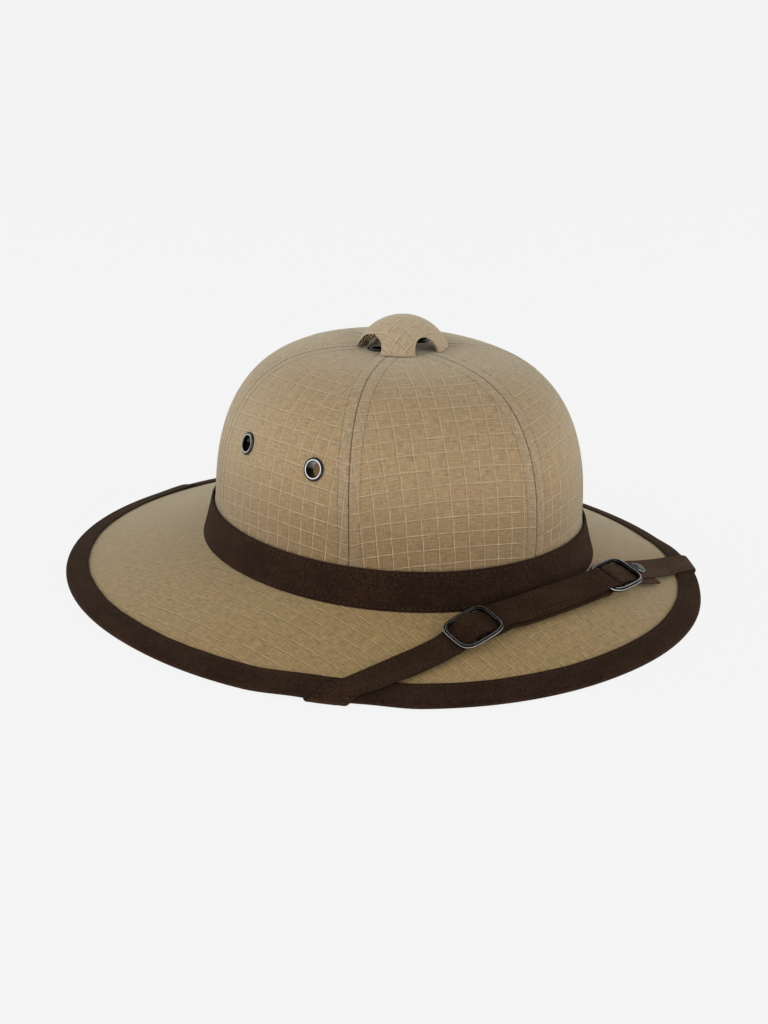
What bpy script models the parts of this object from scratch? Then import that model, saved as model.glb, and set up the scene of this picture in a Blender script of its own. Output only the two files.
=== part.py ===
"""Pith helmet: a hollow crown of six gores, a bound sloping brim, a hat band, a ventilator cap on
four legs, six metal eyelets, and a chin strap in two runs that meet in two wire buckles.

Lengths are in millimetres and angles in degrees. Meshes are made in metres, +Z up. The front of the
hat faces -Y. An angle round the hat starts at the front and grows towards +X. The hat rests on its
bound edge at Z = 0, with the middle of the brim over the origin."""

import math

import bmesh
import bpy
import numpy as np

MM = 0.001
GAP = 0.3  # clearance between neighbouring pieces

# The brim's edge and the ring where the brim meets the hat band ("band line").
BRIM_HALF_LENGTH = 171.3
BRIM_HALF_WIDTH = 154.2
BRIM_SQUARENESS = 2.08
BRIM_STEPS = 44
BRIM_SAG = 0.05
BRIM_HALF_THICKNESS = 1.0
BINDING_GAP = 0.4
BINDING_WALL = 0.7
BINDING_WIDTH = 11.1
EDGE_RADIUS = BRIM_HALF_THICKNESS + BINDING_GAP + BINDING_WALL
EDGE_Z = 2.0
REST_FLAT = 0.06  # what is lower than this on the edge is pressed flat on the rest plane
BAND_LINE_Z = EDGE_Z + 21.7
BAND_LINE_HALF_LENGTH = 107.1
BAND_LINE_HALF_WIDTH = 93.4
HEAD_SQUARENESS = 2.08
CROWN_Y = -13.4  # the crown sits forward of the middle of the brim
BRIM_REACH_UNDER_BAND = 0.9

# The crown. Its wall is pith under cloth.
CROWN_WALL = 3.0
CROWN_HALF_LENGTH = 101.1  # where the dome springs from the upright wall
CROWN_HALF_WIDTH = 86.1
SPRING_HEIGHT = 20.6
CROWN_FOOT_HALF_LENGTH = 105.3  # at the band line
CROWN_FOOT_HALF_WIDTH = 91.6
CROWN_HEIGHT = 103.5  # above the band line
CROWN_APEX_FORWARD = 3.8
CROWN_SIDE_POWER = 3.67
CROWN_TOP_POWER = 2.43
CROWN_RIM_DROP = 2 * BRIM_HALF_THICKNESS
SEAM_GROOVE = 0.5

# The hat band.
BAND_HEIGHT = 19.0
BAND_WAVE = 0.5  # the band is this much taller in front and behind, and lower at the sides
BAND_WALL = 1.3
BAND_TOP_HALF_LENGTH = 103.2
BAND_TOP_HALF_WIDTH = 88.3
BAND_FLARE_POWER = 1.15
BAND_FOOT_GAP = 0.4
BAND_FOOT_SLOPE = 0.4  # the band's bottom edge follows the brim's slope

# Seams between the gores: their angle at the top of the band and at the apex.
SEAMS = (
    {"at_band": 0.0, "at_apex": 0.0},
    {"at_band": 59.7, "at_apex": 65.9},
    {"at_band": 118.5, "at_apex": 124.7},
    {"at_band": 180.0, "at_apex": 180.0},
    {"at_band": 241.5, "at_apex": 235.3},
    {"at_band": 300.3, "at_apex": 294.1},
)
GORE_STATIONS = (0.0, 0.03, 0.17, 0.335, 0.5, 0.665, 0.83, 0.97)
OUTER_LEVELS = (-1.0, -0.5, 0.0, 0.06, 0.13, 0.2, 0.28, 0.37, 0.47, 0.58, 0.69, 0.79, 0.88, 0.95, 0.985)
INNER_LEVELS = (-1.0, 0.0, 0.1, 0.19, 0.28, 0.37, 0.5, 0.64, 0.78, 0.9, 0.97)

# Eyelets: a side pair on each side gore, and one each side of the apex under the cap.
EYELET_HOLE = 4.4
EYELET_SIDES = 12
EYELETS = (
    {"name": "side_eyelet_right_rear", "angle": -103.8, "level": 0.288},
    {"name": "side_eyelet_right_front", "angle": -73.3, "level": 0.282},
    {"name": "side_eyelet_left_rear", "angle": 103.8, "level": 0.288},
    {"name": "side_eyelet_left_front", "angle": 73.3, "level": 0.282},
    {"name": "top_eyelet_right", "angle": -100.1, "level": 0.979},
    {"name": "top_eyelet_left", "angle": 100.1, "level": 0.979},
)
# Section of an eyelet: distance from its axis, and height above the cloth along the axis.
EYELET_SECTION = (
    {"radius": 4.1, "height": 0.5},
    {"radius": 5.5, "height": 0.5},
    {"radius": 5.8, "height": 0.9},
    {"radius": 5.3, "height": 1.4},
    {"radius": 4.3, "height": 1.4},
    {"radius": 3.7, "height": 0.8},
    {"radius": 3.7, "height": -4.8},
    {"radius": 5.3, "height": -4.8},
    {"radius": 5.3, "height": -4.2},
    {"radius": 4.1, "height": -4.2},
)

# The ventilator cap: a shallow dome with four arches between its four legs.
CAP_BASE_RADIUS = 22.8
CAP_RISE = 15.2
CAP_WALL = 1.8
CAP_ARCH_RADIUS = 9.05
CAP_ARCH_DROP = 2.1  # the arches' middle lies this far below the cap's foot
CAP_TURN = -4.0
CAP_BASE_Z = BAND_LINE_Z + CROWN_HEIGHT + GAP
CAP_Y = CROWN_Y - CROWN_APEX_FORWARD

# The chin strap.
STRAP_WIDTH = 15.0
STRAP_THICKNESS = 1.1
STRAP_GAP = 0.4
STRAP_LAYER_STEP = 1.5  # between the middles of two layers that lie on each other
LOWER_LAYER_SLIP = 1.4  # the layer underneath shows this much below the one on top
STRAP_AROUND_EDGE = EDGE_RADIUS + STRAP_GAP + STRAP_THICKNESS / 2
STRAP_ON_CROWN = CROWN_WALL + 2 * GAP + STRAP_THICKNESS / 2
STRAP_UNDER_BRIM = BRIM_HALF_THICKNESS + 2 * STRAP_GAP + STRAP_THICKNESS / 2
ANCHOR_HEIGHT_LEVELS = (-0.94, -0.7, -0.45, -0.2)
# Where each run starts round the brim's edge, and how far round the hat it moves for each millimetre
# on top and round the edge. Side is the sign of X. Lift is where the edge gives way most.
STRAP_CROSSINGS = {
    "long": {"side": -1, "angle": 50.1, "turn": 0.43, "wrap_turn": 0.28, "lift": 51.6, "anchor": 70.0},
    "short": {"side": 1, "angle": 52.2, "turn": 0.35, "wrap_turn": 0.25, "lift": 53.6, "anchor": 70.0},
}
EDGE_LIFT = 1.7  # the soft edge gives way over the strap, which then lies level with it
EDGE_LIFT_HALF = 5.2
EDGE_LIFT_RAMP = 3.6

# Buckles: bent wire with a lowered centre bar. Along is from the long run to the short run.
WIRE_RADIUS = 1.0
CENTRE_BAR_RADIUS = 0.8
CENTRE_BAR_DROP = 2.2
BUCKLE_LENGTH = 24.6  # between the middles of the wire
BUCKLE_WIDTH = 18.2
BUCKLE_TIGHT_CORNER = 2.6
BUCKLE_WIDE_CORNER = 7.2
BUCKLES = {
    "slider_buckle": {"centre": (-50.0, -124.6, 22.9), "heading": -2.2, "climb": 13.2, "tilt": 19.5},
    "end_buckle": {"centre": (47.2, -123.5, 23.8), "heading": 8.2, "climb": -0.7, "tilt": 20.0},
}
# Strap routes through the buckles: along from the middle of the buckle, above the wire's middle, and
# slipped sideways away from the crown.
SLIDER_RUN = (
    {"along": -12.3, "above": -2.0},
    {"along": -8.3, "above": -1.9},
    {"along": -5.2, "above": -0.5},
    {"along": -2.2, "above": 0.75},
    {"along": 0.0, "above": 0.9},
    {"along": 2.2, "above": 0.75},
    {"along": 5.2, "above": -0.3},
    {"along": 8.5, "above": -1.4},
    {"along": 12.3, "above": -1.9},
    {"along": 17.0, "above": -2.3},
)
END_FOLD = (
    {"along": -19.0, "above": 2.0},
    {"along": -13.5, "above": 1.95},
    {"along": -8.3, "above": 1.95},
    {"along": -6.9, "above": 1.38},
    {"along": -6.35, "above": 0.0},
    {"along": -6.9, "above": -1.38},
    {"along": -8.3, "above": -1.95},
    {"along": -14.0, "above": -1.9, "slip": 1.0},
    {"along": -19.5, "above": -0.6, "slip": 1.4},
)
SLIDER_END = (
    {"along": 17.0, "above": -3.9, "slip": 1.8},
    {"along": 12.3, "above": -3.5, "slip": 1.7},
    {"along": 6.0, "above": -3.8, "slip": 0.7},
    {"along": 0.0, "above": -3.9},
    {"along": -1.25, "above": -3.35},
    {"along": -1.7, "above": -2.2},
    {"along": -1.25, "above": -1.05},
    {"along": 0.0, "above": -0.55},
    {"along": 1.8, "above": -0.9},
    {"along": 3.4, "above": -1.5},
)
SHORT_TURN = (
    {"along": 31.0, "above": -6.4},
    {"along": 22.5, "above": -3.8},
    {"along": 17.0, "above": -2.6},
    {"along": 12.3, "above": -1.95},
    {"along": 6.0, "above": -0.8},
    {"along": 0.0, "above": -0.5},
    {"along": -1.2, "above": -1.0},
    {"along": -1.7, "above": -2.2},
    {"along": -1.2, "above": -3.4},
    {"along": 0.0, "above": -3.9},
    {"along": 6.0, "above": -3.75},
    {"along": 12.3, "above": -3.5},
    {"along": 17.0, "above": -4.2},
    {"along": 22.5, "above": -5.4},
    {"along": 32.0, "above": -8.2, "slip": 0.6},
)
# Stations on the brim: place seen from above, height over the middle of the brim, and heading.
LONG_ON_BRIM = (
    {"x": -88.0, "y": -118.5, "height": 3.0, "heading": -10.0},
    {"x": -77.0, "y": -120.4, "height": 2.9, "heading": -10.0},
    {"x": -68.0, "y": -121.9, "height": 3.4, "heading": -9.0},
)
SHORT_ON_BRIM = ({"x": 94.5, "y": -112.2, "height": 3.2, "heading": 11.0},)
# Stations between the buckles, where the strap leans on its lower layer in front of the band.
BETWEEN_BUCKLES = (
    {"x": -23.0, "y": -126.7, "z": 25.3, "heading": -6.0, "tilt": 27.0},
    {"x": 6.0, "y": -128.4, "z": 26.1, "heading": 1.0, "tilt": 28.0},
)
STRAP_LONGEST_STEP = 9.0

RIVET_ALONG = 22.8
RIVET_SLOPE = 16.0
RIVET_ABOVE = -3.8
RIVET_HOLE = 1.75
RIVET_SIDES = 12
# Section of the rivet: distance from its axis, and height above the middle of the upper layer.
RIVET_SECTION = (
    {"radius": 0.0, "height": 2.4},
    {"radius": 2.3, "height": 2.1},
    {"radius": 3.6, "height": 1.5},
    {"radius": 3.9, "height": 0.95},
    {"radius": 1.4, "height": 0.95},
    {"radius": 1.4, "height": -2.6},
    {"radius": 2.6, "height": -2.6},
    {"radius": 2.6, "height": -3.1},
    {"radius": 0.0, "height": -3.1},
)

LOOKS = {
    "tan_cloth": {"colour": (0.36, 0.28, 0.17, 1.0), "roughness": 0.9, "metallic": 0.0},
    "brown_cloth": {"colour": (0.035, 0.022, 0.015, 1.0), "roughness": 0.85, "metallic": 0.0},
    "dark_metal": {"colour": (0.25, 0.26, 0.28, 1.0), "roughness": 0.25, "metallic": 1.0},
}


def unit(vector):
    return vector / np.linalg.norm(vector)


def ring(half_length, half_width, squareness, centre_y, angle):
    """A point on a rounded oval seen from above."""
    cos, sin = math.cos(math.radians(angle)), math.sin(math.radians(angle))
    reach = (abs(cos) ** squareness + abs(sin) ** squareness) ** (-1 / squareness)
    return np.array([half_width * reach * sin, centre_y - half_length * reach * cos])


# ---------------------------------------------------------------- the brim's surface


def edge_lift(angle):
    """How far the edge is pushed up over each crossing of the strap."""
    signed = (angle + 180) % 360 - 180
    crossing = STRAP_CROSSINGS["short" if signed > 0 else "long"]
    off = abs(abs(signed) - crossing["lift"]) - EDGE_LIFT_HALF
    part = min(max(1 - off / EDGE_LIFT_RAMP, 0), 1)
    return EDGE_LIFT * part * part * (3 - 2 * part)


def brim_mid(angle, part):
    """The middle of the brim's thickness: part 0 is the band line and 1 the edge."""
    inner = ring(BAND_LINE_HALF_LENGTH, BAND_LINE_HALF_WIDTH, HEAD_SQUARENESS, CROWN_Y, angle)
    outer = ring(BRIM_HALF_LENGTH, BRIM_HALF_WIDTH, BRIM_SQUARENESS, 0.0, angle)
    x, y = inner + (outer - inner) * part
    top = BAND_LINE_Z - BRIM_HALF_THICKNESS
    drop = part + BRIM_SAG * (part * part - part)
    return np.array([x, y, top + (EDGE_Z - top) * drop + edge_lift(angle) * max(part, 0) ** 2])


def brim_frame(angle, part):
    """The point, the direction outwards down the slope, and the upward normal."""
    step = 0.01
    outward = unit(brim_mid(angle, part + step) - brim_mid(angle, part - step))
    around = unit(brim_mid(angle + step, part) - brim_mid(angle - step, part))
    return brim_mid(angle, part), outward, unit(np.cross(outward, around))


def brim_span(angle):
    return np.linalg.norm(brim_mid(angle, 1.0) - brim_mid(angle, 0.0))


def skin(angle, run, height):
    """A point and its normal on a layer that wraps the brim at a height from its middle. A run below
    0 is on top, that far in from the edge; from 0 the layer goes round the edge and in underneath."""
    turn = math.pi * height
    if run <= 0:
        point, _, normal = brim_frame(angle, 1 + run / brim_span(angle))
        return point + normal * height, normal
    if run >= turn:
        point, _, normal = brim_frame(angle, 1 - (run - turn) / brim_span(angle))
        return point - normal * height, -normal
    point, outward, normal = brim_frame(angle, 1.0)
    away = normal * math.cos(run / height) + outward * math.sin(run / height)
    return point + away * height, away


def brim_under(x, y):
    """The angle and part of the brim below a place seen from above, by Newton's method."""
    angle, part, step = math.degrees(math.atan2(x, -y)), 0.5, 0.001
    for _ in range(12):
        here = brim_mid(angle, part)[:2]
        slope = np.column_stack(
            [
                (brim_mid(angle + step, part)[:2] - here) / step,
                (brim_mid(angle, part + step)[:2] - here) / step,
            ]
        )
        turn, grow = np.linalg.solve(slope, np.array([x, y]) - here)
        angle, part = angle + turn, part + grow
    return angle, part


# ---------------------------------------------------------------- the crown's surface


def wavy_z(height, angle):
    return BAND_LINE_Z + height + BAND_WAVE * math.cos(math.radians(2 * angle))


def crown_point(angle, level, inset=0.0):
    """Level -1 is the band line, 0 the foot of the dome and 1 the apex."""
    if level <= 0:
        flare = (-level) ** BAND_FLARE_POWER
        half_length = CROWN_HALF_LENGTH + (CROWN_FOOT_HALF_LENGTH - CROWN_HALF_LENGTH) * flare
        half_width = CROWN_HALF_WIDTH + (CROWN_FOOT_HALF_WIDTH - CROWN_HALF_WIDTH) * flare
        x, y = ring(half_length - inset, half_width - inset, HEAD_SQUARENESS, CROWN_Y, angle)
        z = BAND_LINE_Z + (1 + level) * (wavy_z(SPRING_HEIGHT, angle) - BAND_LINE_Z)
        return np.array([x, y, z])
    turn = level * math.pi / 2
    shrink = math.cos(turn) ** (2 / CROWN_SIDE_POWER)
    rise = math.sin(turn) ** (2 / CROWN_TOP_POWER)
    squareness = 2 + (HEAD_SQUARENESS - 2) * (1 - level)
    x, y = ring(
        (CROWN_HALF_LENGTH - inset) * shrink,
        (CROWN_HALF_WIDTH - inset) * shrink,
        squareness,
        CROWN_Y - CROWN_APEX_FORWARD * rise,
        angle,
    )
    dome = CROWN_HEIGHT - inset - SPRING_HEIGHT
    wave = BAND_WAVE * shrink * math.cos(math.radians(2 * angle))
    return np.array([x, y, BAND_LINE_Z + SPRING_HEIGHT + dome * rise + wave])


def crown_normal(angle, level):
    step = 0.004
    around = crown_point(angle + 1, level) - crown_point(angle - 1, level)
    upward = crown_point(angle, level + step) - crown_point(angle, level - step)
    return unit(np.cross(around, upward))


def gore_angle(gore, station, level):
    """The angle of a station between two seams, 0 on the gore's own seam and 1 on the next."""
    rise = min(max(level, 0), 1)
    start, end = SEAMS[gore], SEAMS[(gore + 1) % len(SEAMS)]
    first = start["at_band"] + (start["at_apex"] - start["at_band"]) * rise
    last = end["at_band"] + (end["at_apex"] - end["at_band"]) * rise
    return first + ((last - first) % 360) * station


# ---------------------------------------------------------------- mesh helpers


def make_material(name, look_name):
    look = LOOKS[look_name]
    material = bpy.data.materials.new(name)
    material.use_nodes = True
    shader = material.node_tree.nodes["Principled BSDF"]
    shader.inputs["Base Color"].default_value = look["colour"]
    shader.inputs["Roughness"].default_value = look["roughness"]
    shader.inputs["Metallic"].default_value = look["metallic"]
    return material


def make_object(name, points, faces, look_name):
    """A closed mesh object from points in millimetres."""
    mesh = bpy.data.meshes.new(name)
    mesh.from_pydata([tuple(float(value) * MM for value in point) for point in points], [], faces)
    shell = bmesh.new()
    shell.from_mesh(mesh)
    bmesh.ops.recalc_face_normals(shell, faces=shell.faces)
    shell.to_mesh(mesh)
    shell.free()
    mesh.shade_smooth()
    mesh.set_sharp_from_angle(angle=math.radians(40))
    mesh.materials.append(make_material(name, look_name))
    made = bpy.data.objects.new(name, mesh)
    bpy.context.collection.objects.link(made)
    return made


def make_hoop(name, sections, look_name):
    """A closed hoop through sections that all have the same number of points."""
    size, count = len(sections[0]), len(sections)
    points = [point for section in sections for point in section]
    faces = []
    for here in range(count):
        after = (here + 1) % count
        for i in range(size):
            j = (i + 1) % size
            faces.append((here * size + i, here * size + j, after * size + j, after * size + i))
    return make_object(name, points, faces, look_name)


def make_turned(name, section, sides, origin, axis, look_name):
    """A section turned round an axis. A section that starts and ends on the axis closes there."""
    axis = unit(np.array(axis))
    across = unit(np.cross(axis, [0.31, 0.95, 0.1]))
    other = np.cross(axis, across)
    points, rows = [], []
    for corner in section:
        centre = np.array(origin) + axis * corner["height"]
        row = []
        for i in range(sides if corner["radius"] > 0 else 1):
            turn = 2 * math.pi * i / sides
            row.append(len(points))
            points.append(centre + corner["radius"] * (across * math.cos(turn) + other * math.sin(turn)))
        rows.append(row)
    closed_on_axis = len(rows[0]) == 1
    faces = []
    for k in range(len(rows) - 1 if closed_on_axis else len(rows)):
        low, high = rows[k], rows[(k + 1) % len(rows)]
        for i in range(sides):
            j = (i + 1) % sides
            corners = (low[i % len(low)], low[j % len(low)], high[j % len(high)], high[i % len(high)])
            faces.append(tuple(dict.fromkeys(corners)))
    return make_object(name, points, faces, look_name)


def make_tube(name, path, radius, sides, closed, look_name):
    """A round tube along a path of points, with flat ends where it isn't closed."""
    count = len(path)
    points, faces = [], []
    across = None
    for k, point in enumerate(path):
        before = path[k - 1] if closed or k > 0 else point
        after = path[(k + 1) % count] if closed or k < count - 1 else point
        along = unit(after - before)
        if across is None:
            across = np.cross(along, [0.2, 0.3, 0.93])
        across = unit(across - along * np.dot(across, along))
        other = np.cross(along, across)
        for i in range(sides):
            turn = 2 * math.pi * i / sides
            points.append(point + radius * (across * math.cos(turn) + other * math.sin(turn)))
    for k in range(count if closed else count - 1):
        after = (k + 1) % count
        for i in range(sides):
            j = (i + 1) % sides
            faces.append((k * sides + i, k * sides + j, after * sides + j, after * sides + i))
    if not closed:
        faces.append(tuple(range(sides)))
        faces.append(tuple((count - 1) * sides + i for i in range(sides)))
    return make_object(name, points, faces, look_name)


def use_boolean(target, tool, operation):
    """Applies a cut or a union and keeps the tool out of the model."""
    tool.hide_render = True
    tool.display_type = "WIRE"
    modifier = target.modifiers.new(operation.lower(), "BOOLEAN")
    modifier.operation = operation
    modifier.solver = "EXACT"
    modifier.object = tool
    modifier.material_mode = "INDEX"
    bpy.context.view_layer.update()
    evaluated = target.evaluated_get(bpy.context.evaluated_depsgraph_get())
    result = bpy.data.meshes.new_from_object(evaluated)
    result.shade_smooth()
    result.set_sharp_from_angle(angle=math.radians(40))
    target.modifiers.remove(modifier)
    target.data = result
    bpy.data.objects.remove(tool)


def make_drill(origin, axis, radius, depth, sides):
    """A plain cylinder centred on a point, for cutting a hole."""
    section = (
        {"radius": 0.0, "height": depth / 2},
        {"radius": radius, "height": depth / 2},
        {"radius": radius, "height": -depth / 2},
        {"radius": 0.0, "height": -depth / 2},
    )
    return make_turned("drill", section, sides, origin, axis, "dark_metal")


# ---------------------------------------------------------------- cloth and pith pieces


def brim_angles():
    """Even steps with closer sections over the strap's crossings."""
    angles = [360 * i / BRIM_STEPS for i in range(BRIM_STEPS)]
    for crossing in STRAP_CROSSINGS.values():
        for off in (-8.8, -7, -5.2, 0, 5.2, 7, 8.8):
            angles.append((crossing["side"] * (crossing["lift"] + off)) % 360)
    kept = []
    for angle in sorted(angles):
        if not kept or angle - kept[-1] > 1.5:
            kept.append(angle)
    return kept


def make_brim():
    sections = []
    for angle in brim_angles():
        span = brim_span(angle)
        inner_part = -BRIM_REACH_UNDER_BAND / span
        section = []
        for part in (inner_part, 0.25, 0.5, 0.75):
            section.append(skin(angle, (part - 1) * span, BRIM_HALF_THICKNESS)[0])
        turn = math.pi * BRIM_HALF_THICKNESS
        for quarter in (0.0, 0.33, 0.67, 1.0):
            section.append(skin(angle, quarter * turn, BRIM_HALF_THICKNESS)[0])
        for part in (0.5, inner_part):
            section.append(skin(angle, turn + (1 - part) * span, BRIM_HALF_THICKNESS)[0])
        sections.append(section)
    return make_hoop("brim", sections, "tan_cloth")


def pressed(point):
    """A point of what lies on the rest plane, pressed flat on it."""
    if point[2] < REST_FLAT:
        point = np.array([point[0], point[1], 0.0])
    return point


def make_binding():
    outer_turn = math.pi * EDGE_RADIUS
    inner_radius = BRIM_HALF_THICKNESS + BINDING_GAP
    inner_turn = math.pi * inner_radius
    sections = []
    for angle in brim_angles():
        section = [skin(angle, -BINDING_WIDTH, EDGE_RADIUS)[0]]
        for i in range(8):
            section.append(pressed(skin(angle, outer_turn * i / 7, EDGE_RADIUS)[0]))
        section.append(skin(angle, outer_turn + BINDING_WIDTH, EDGE_RADIUS)[0])
        section.append(skin(angle, inner_turn + BINDING_WIDTH, inner_radius)[0])
        for i in range(4, -1, -1):
            section.append(skin(angle, inner_turn * i / 4, inner_radius)[0])
        section.append(skin(angle, -BINDING_WIDTH, inner_radius)[0])
        sections.append(section)
    return make_hoop("brim_binding", sections, "brown_cloth")


def make_crown():
    points, outer, inner = [], [], []
    for levels, wall, rows in ((OUTER_LEVELS, 0.0, outer), (INNER_LEVELS, CROWN_WALL, inner)):
        for level in (None,) + levels:
            row = []
            for gore in range(len(SEAMS)):
                for station in GORE_STATIONS:
                    on_seam = station == 0.0 and wall == 0.0 and level is not None and level < 0.95
                    inset = wall + (SEAM_GROOVE if on_seam else 0.0)
                    place = level if level is not None else -1.0
                    point = crown_point(gore_angle(gore, station, place), place, inset)
                    if level is None:
                        point[2] -= CROWN_RIM_DROP
                    row.append(len(points))
                    points.append(point)
            rows.append(row)
        apex = len(points)
        points.append(crown_point(0.0, 1.0, wall))
        rows.append([apex] * len(row))
    faces = []
    count = len(outer[0])
    for rows in (outer, inner):
        for low, high in zip(rows, rows[1:]):
            for i in range(count):
                j = (i + 1) % count
                faces.append(tuple(dict.fromkeys((low[i], low[j], high[j], high[i]))))
    for i in range(count):
        j = (i + 1) % count
        faces.append((outer[0][j], outer[0][i], inner[0][i], inner[0][j]))
    crown = make_object("crown", points, faces, "tan_cloth")
    for eyelet in EYELETS:
        origin, axis = eyelet_place(eyelet)
        use_boolean(crown, make_drill(origin, axis, EYELET_HOLE, 14.0, EYELET_SIDES), "DIFFERENCE")
    return crown


def make_hat_band():
    sections = []
    for step in range(60):
        angle = 6 * step
        height = wavy_z(BAND_HEIGHT, angle) - BAND_LINE_Z - BAND_FOOT_GAP
        section = []
        for inset, rows in ((0.0, (0.0, 0.33, 0.67, 1.0)), (BAND_WALL, (1.0, 0.0))):
            for row in rows:
                flare = (1 - row) ** BAND_FLARE_POWER
                half_length = BAND_TOP_HALF_LENGTH + (BAND_LINE_HALF_LENGTH - BAND_TOP_HALF_LENGTH) * flare
                half_width = BAND_TOP_HALF_WIDTH + (BAND_LINE_HALF_WIDTH - BAND_TOP_HALF_WIDTH) * flare
                x, y = ring(half_length - inset, half_width - inset, HEAD_SQUARENESS, CROWN_Y, angle)
                foot = BAND_LINE_Z + BAND_FOOT_GAP + BAND_FOOT_SLOPE * inset * (1 - row)
                section.append(np.array([x, y, foot + height * row]))
        sections.append(section)
    return make_hoop("hat_band", sections, "brown_cloth")


def make_vent_cap():
    outer_radius = (CAP_BASE_RADIUS**2 + CAP_RISE**2) / (2 * CAP_RISE)
    inner_radius = outer_radius - CAP_WALL
    centre_drop = outer_radius - CAP_RISE
    section = []
    rim_outer = math.acos(centre_drop / outer_radius)
    rim_inner = math.acos(centre_drop / inner_radius)
    for i in range(7):
        turn = rim_outer * i / 6
        height = outer_radius * math.cos(turn) - centre_drop
        section.append({"radius": outer_radius * math.sin(turn), "height": height})
    for i in range(4, -1, -1):
        turn = rim_inner * i / 4
        height = inner_radius * math.cos(turn) - centre_drop
        section.append({"radius": inner_radius * math.sin(turn), "height": height})
    base = (0.0, CAP_Y, CAP_BASE_Z)
    cap = make_turned("vent_cap", section, 32, base, (0, 0, 1), "tan_cloth")
    middle = (0.0, CAP_Y, CAP_BASE_Z - CAP_ARCH_DROP)
    for quarter in (0, 90):
        turn = math.radians(CAP_TURN + quarter)
        axis = (math.sin(turn), -math.cos(turn), 0.0)
        use_boolean(cap, make_drill(middle, axis, CAP_ARCH_RADIUS, 60.0, 20), "DIFFERENCE")
    return cap


# ---------------------------------------------------------------- metal pieces


def eyelet_place(eyelet):
    return crown_point(eyelet["angle"], eyelet["level"]), crown_normal(eyelet["angle"], eyelet["level"])


def make_eyelets():
    for eyelet in EYELETS:
        origin, axis = eyelet_place(eyelet)
        make_turned(eyelet["name"], EYELET_SECTION, EYELET_SIDES, origin, axis, "dark_metal")


def buckle_frame(name):
    """The buckle's centre and its along, across and upward directions."""
    buckle = BUCKLES[name]
    heading, climb, tilt = (math.radians(buckle[key]) for key in ("heading", "climb", "tilt"))
    level_along = np.array([math.cos(heading), math.sin(heading), 0.0])
    level_across = np.array([-math.sin(heading), math.cos(heading), 0.0])
    upright = np.array([0.0, 0.0, 1.0])
    along = math.cos(climb) * level_along + math.sin(climb) * upright
    lifted = -math.sin(climb) * level_along + math.cos(climb) * upright
    across = math.cos(tilt) * level_across + math.sin(tilt) * lifted
    return np.array(buckle["centre"]), along, across, np.cross(along, across)


def buckle_outline():
    """The wire's middle line: tight corners at the straight end, wide ones at the round end."""
    corners = (
        {"end": 1, "side": 1, "radius": BUCKLE_TIGHT_CORNER, "from": 0, "steps": 3},
        {"end": -1, "side": 1, "radius": BUCKLE_WIDE_CORNER, "from": 90, "steps": 5},
        {"end": -1, "side": -1, "radius": BUCKLE_WIDE_CORNER, "from": 180, "steps": 5},
        {"end": 1, "side": -1, "radius": BUCKLE_TIGHT_CORNER, "from": 270, "steps": 3},
    )
    outline = []
    for corner in corners:
        x = corner["end"] * (BUCKLE_LENGTH / 2 - corner["radius"])
        y = corner["side"] * (BUCKLE_WIDTH / 2 - corner["radius"])
        for i in range(corner["steps"] + 1):
            turn = math.radians(corner["from"] + 90 * i / corner["steps"])
            outline.append((x + corner["radius"] * math.cos(turn), y + corner["radius"] * math.sin(turn)))
    return outline


def make_buckle(name):
    centre, along, across, above = buckle_frame(name)
    path = [centre + along * x + across * y for x, y in buckle_outline()]
    wire = make_tube(name, path, WIRE_RADIUS, 8, True, "dark_metal")
    half = BUCKLE_WIDTH / 2
    straight = STRAP_WIDTH / 2 + GAP
    bar_rows = ((half, -0.1), (half - 0.3, -1.5), (straight + 0.3, -CENTRE_BAR_DROP))
    bar_rows += tuple((-y, z) for y, z in reversed(bar_rows))
    bar_path = [centre + across * y + above * z for y, z in bar_rows]
    bar = make_tube("centre_bar", bar_path, CENTRE_BAR_RADIUS, 8, False, "dark_metal")
    use_boolean(wire, bar, "UNION")
    return wire


def rivet_place():
    centre, along, across, above = buckle_frame("end_buckle")
    slope = math.radians(RIVET_SLOPE)
    origin = centre + along * RIVET_ALONG + above * RIVET_ABOVE
    return origin, unit(above * math.cos(slope) + along * math.sin(slope))


def make_rivet():
    origin, axis = rivet_place()
    return make_turned("strap_rivet", RIVET_SECTION, RIVET_SIDES, origin, axis, "dark_metal")


# ---------------------------------------------------------------- the chin strap
# A station of the strap is an array of three points across it, from the crown's side outwards, and
# of the three normals of its outer face.


def local_turn(crossing, run):
    return crossing["turn"] if run < 0 else crossing["wrap_turn"]


def crossing_angle(crossing, run):
    """The angle of the strap's middle where it wraps the edge."""
    return crossing["angle"] + local_turn(crossing, run) * run


def skin_station(crossing, angle, run, height, half):
    """A station along a line of equal run, with half its width as an angle."""
    points, normals = [], []
    for part in (1, 0, -1):
        point, normal = skin(crossing["side"] * (angle + part * half), run, height)
        points.append(pressed_strap(point))
        normals.append(normal)
    return np.array([points, normals])


def pressed_strap(point):
    """The strap's middle never comes closer to the rest plane than half its thickness."""
    return np.array([point[0], point[1], max(point[2], STRAP_THICKNESS / 2)])


def half_angle(crossing, angle, run):
    """Half the strap's width in degrees, measured along the edge, which it crosses at a slant."""
    turned = crossing["side"] * angle
    part = 1 + min(run, 0) / brim_span(turned)
    degree = np.linalg.norm(brim_mid(turned + 0.5, part) - brim_mid(turned - 0.5, part))
    return STRAP_WIDTH / 2 * math.hypot(1, local_turn(crossing, run) * degree) / degree


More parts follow.
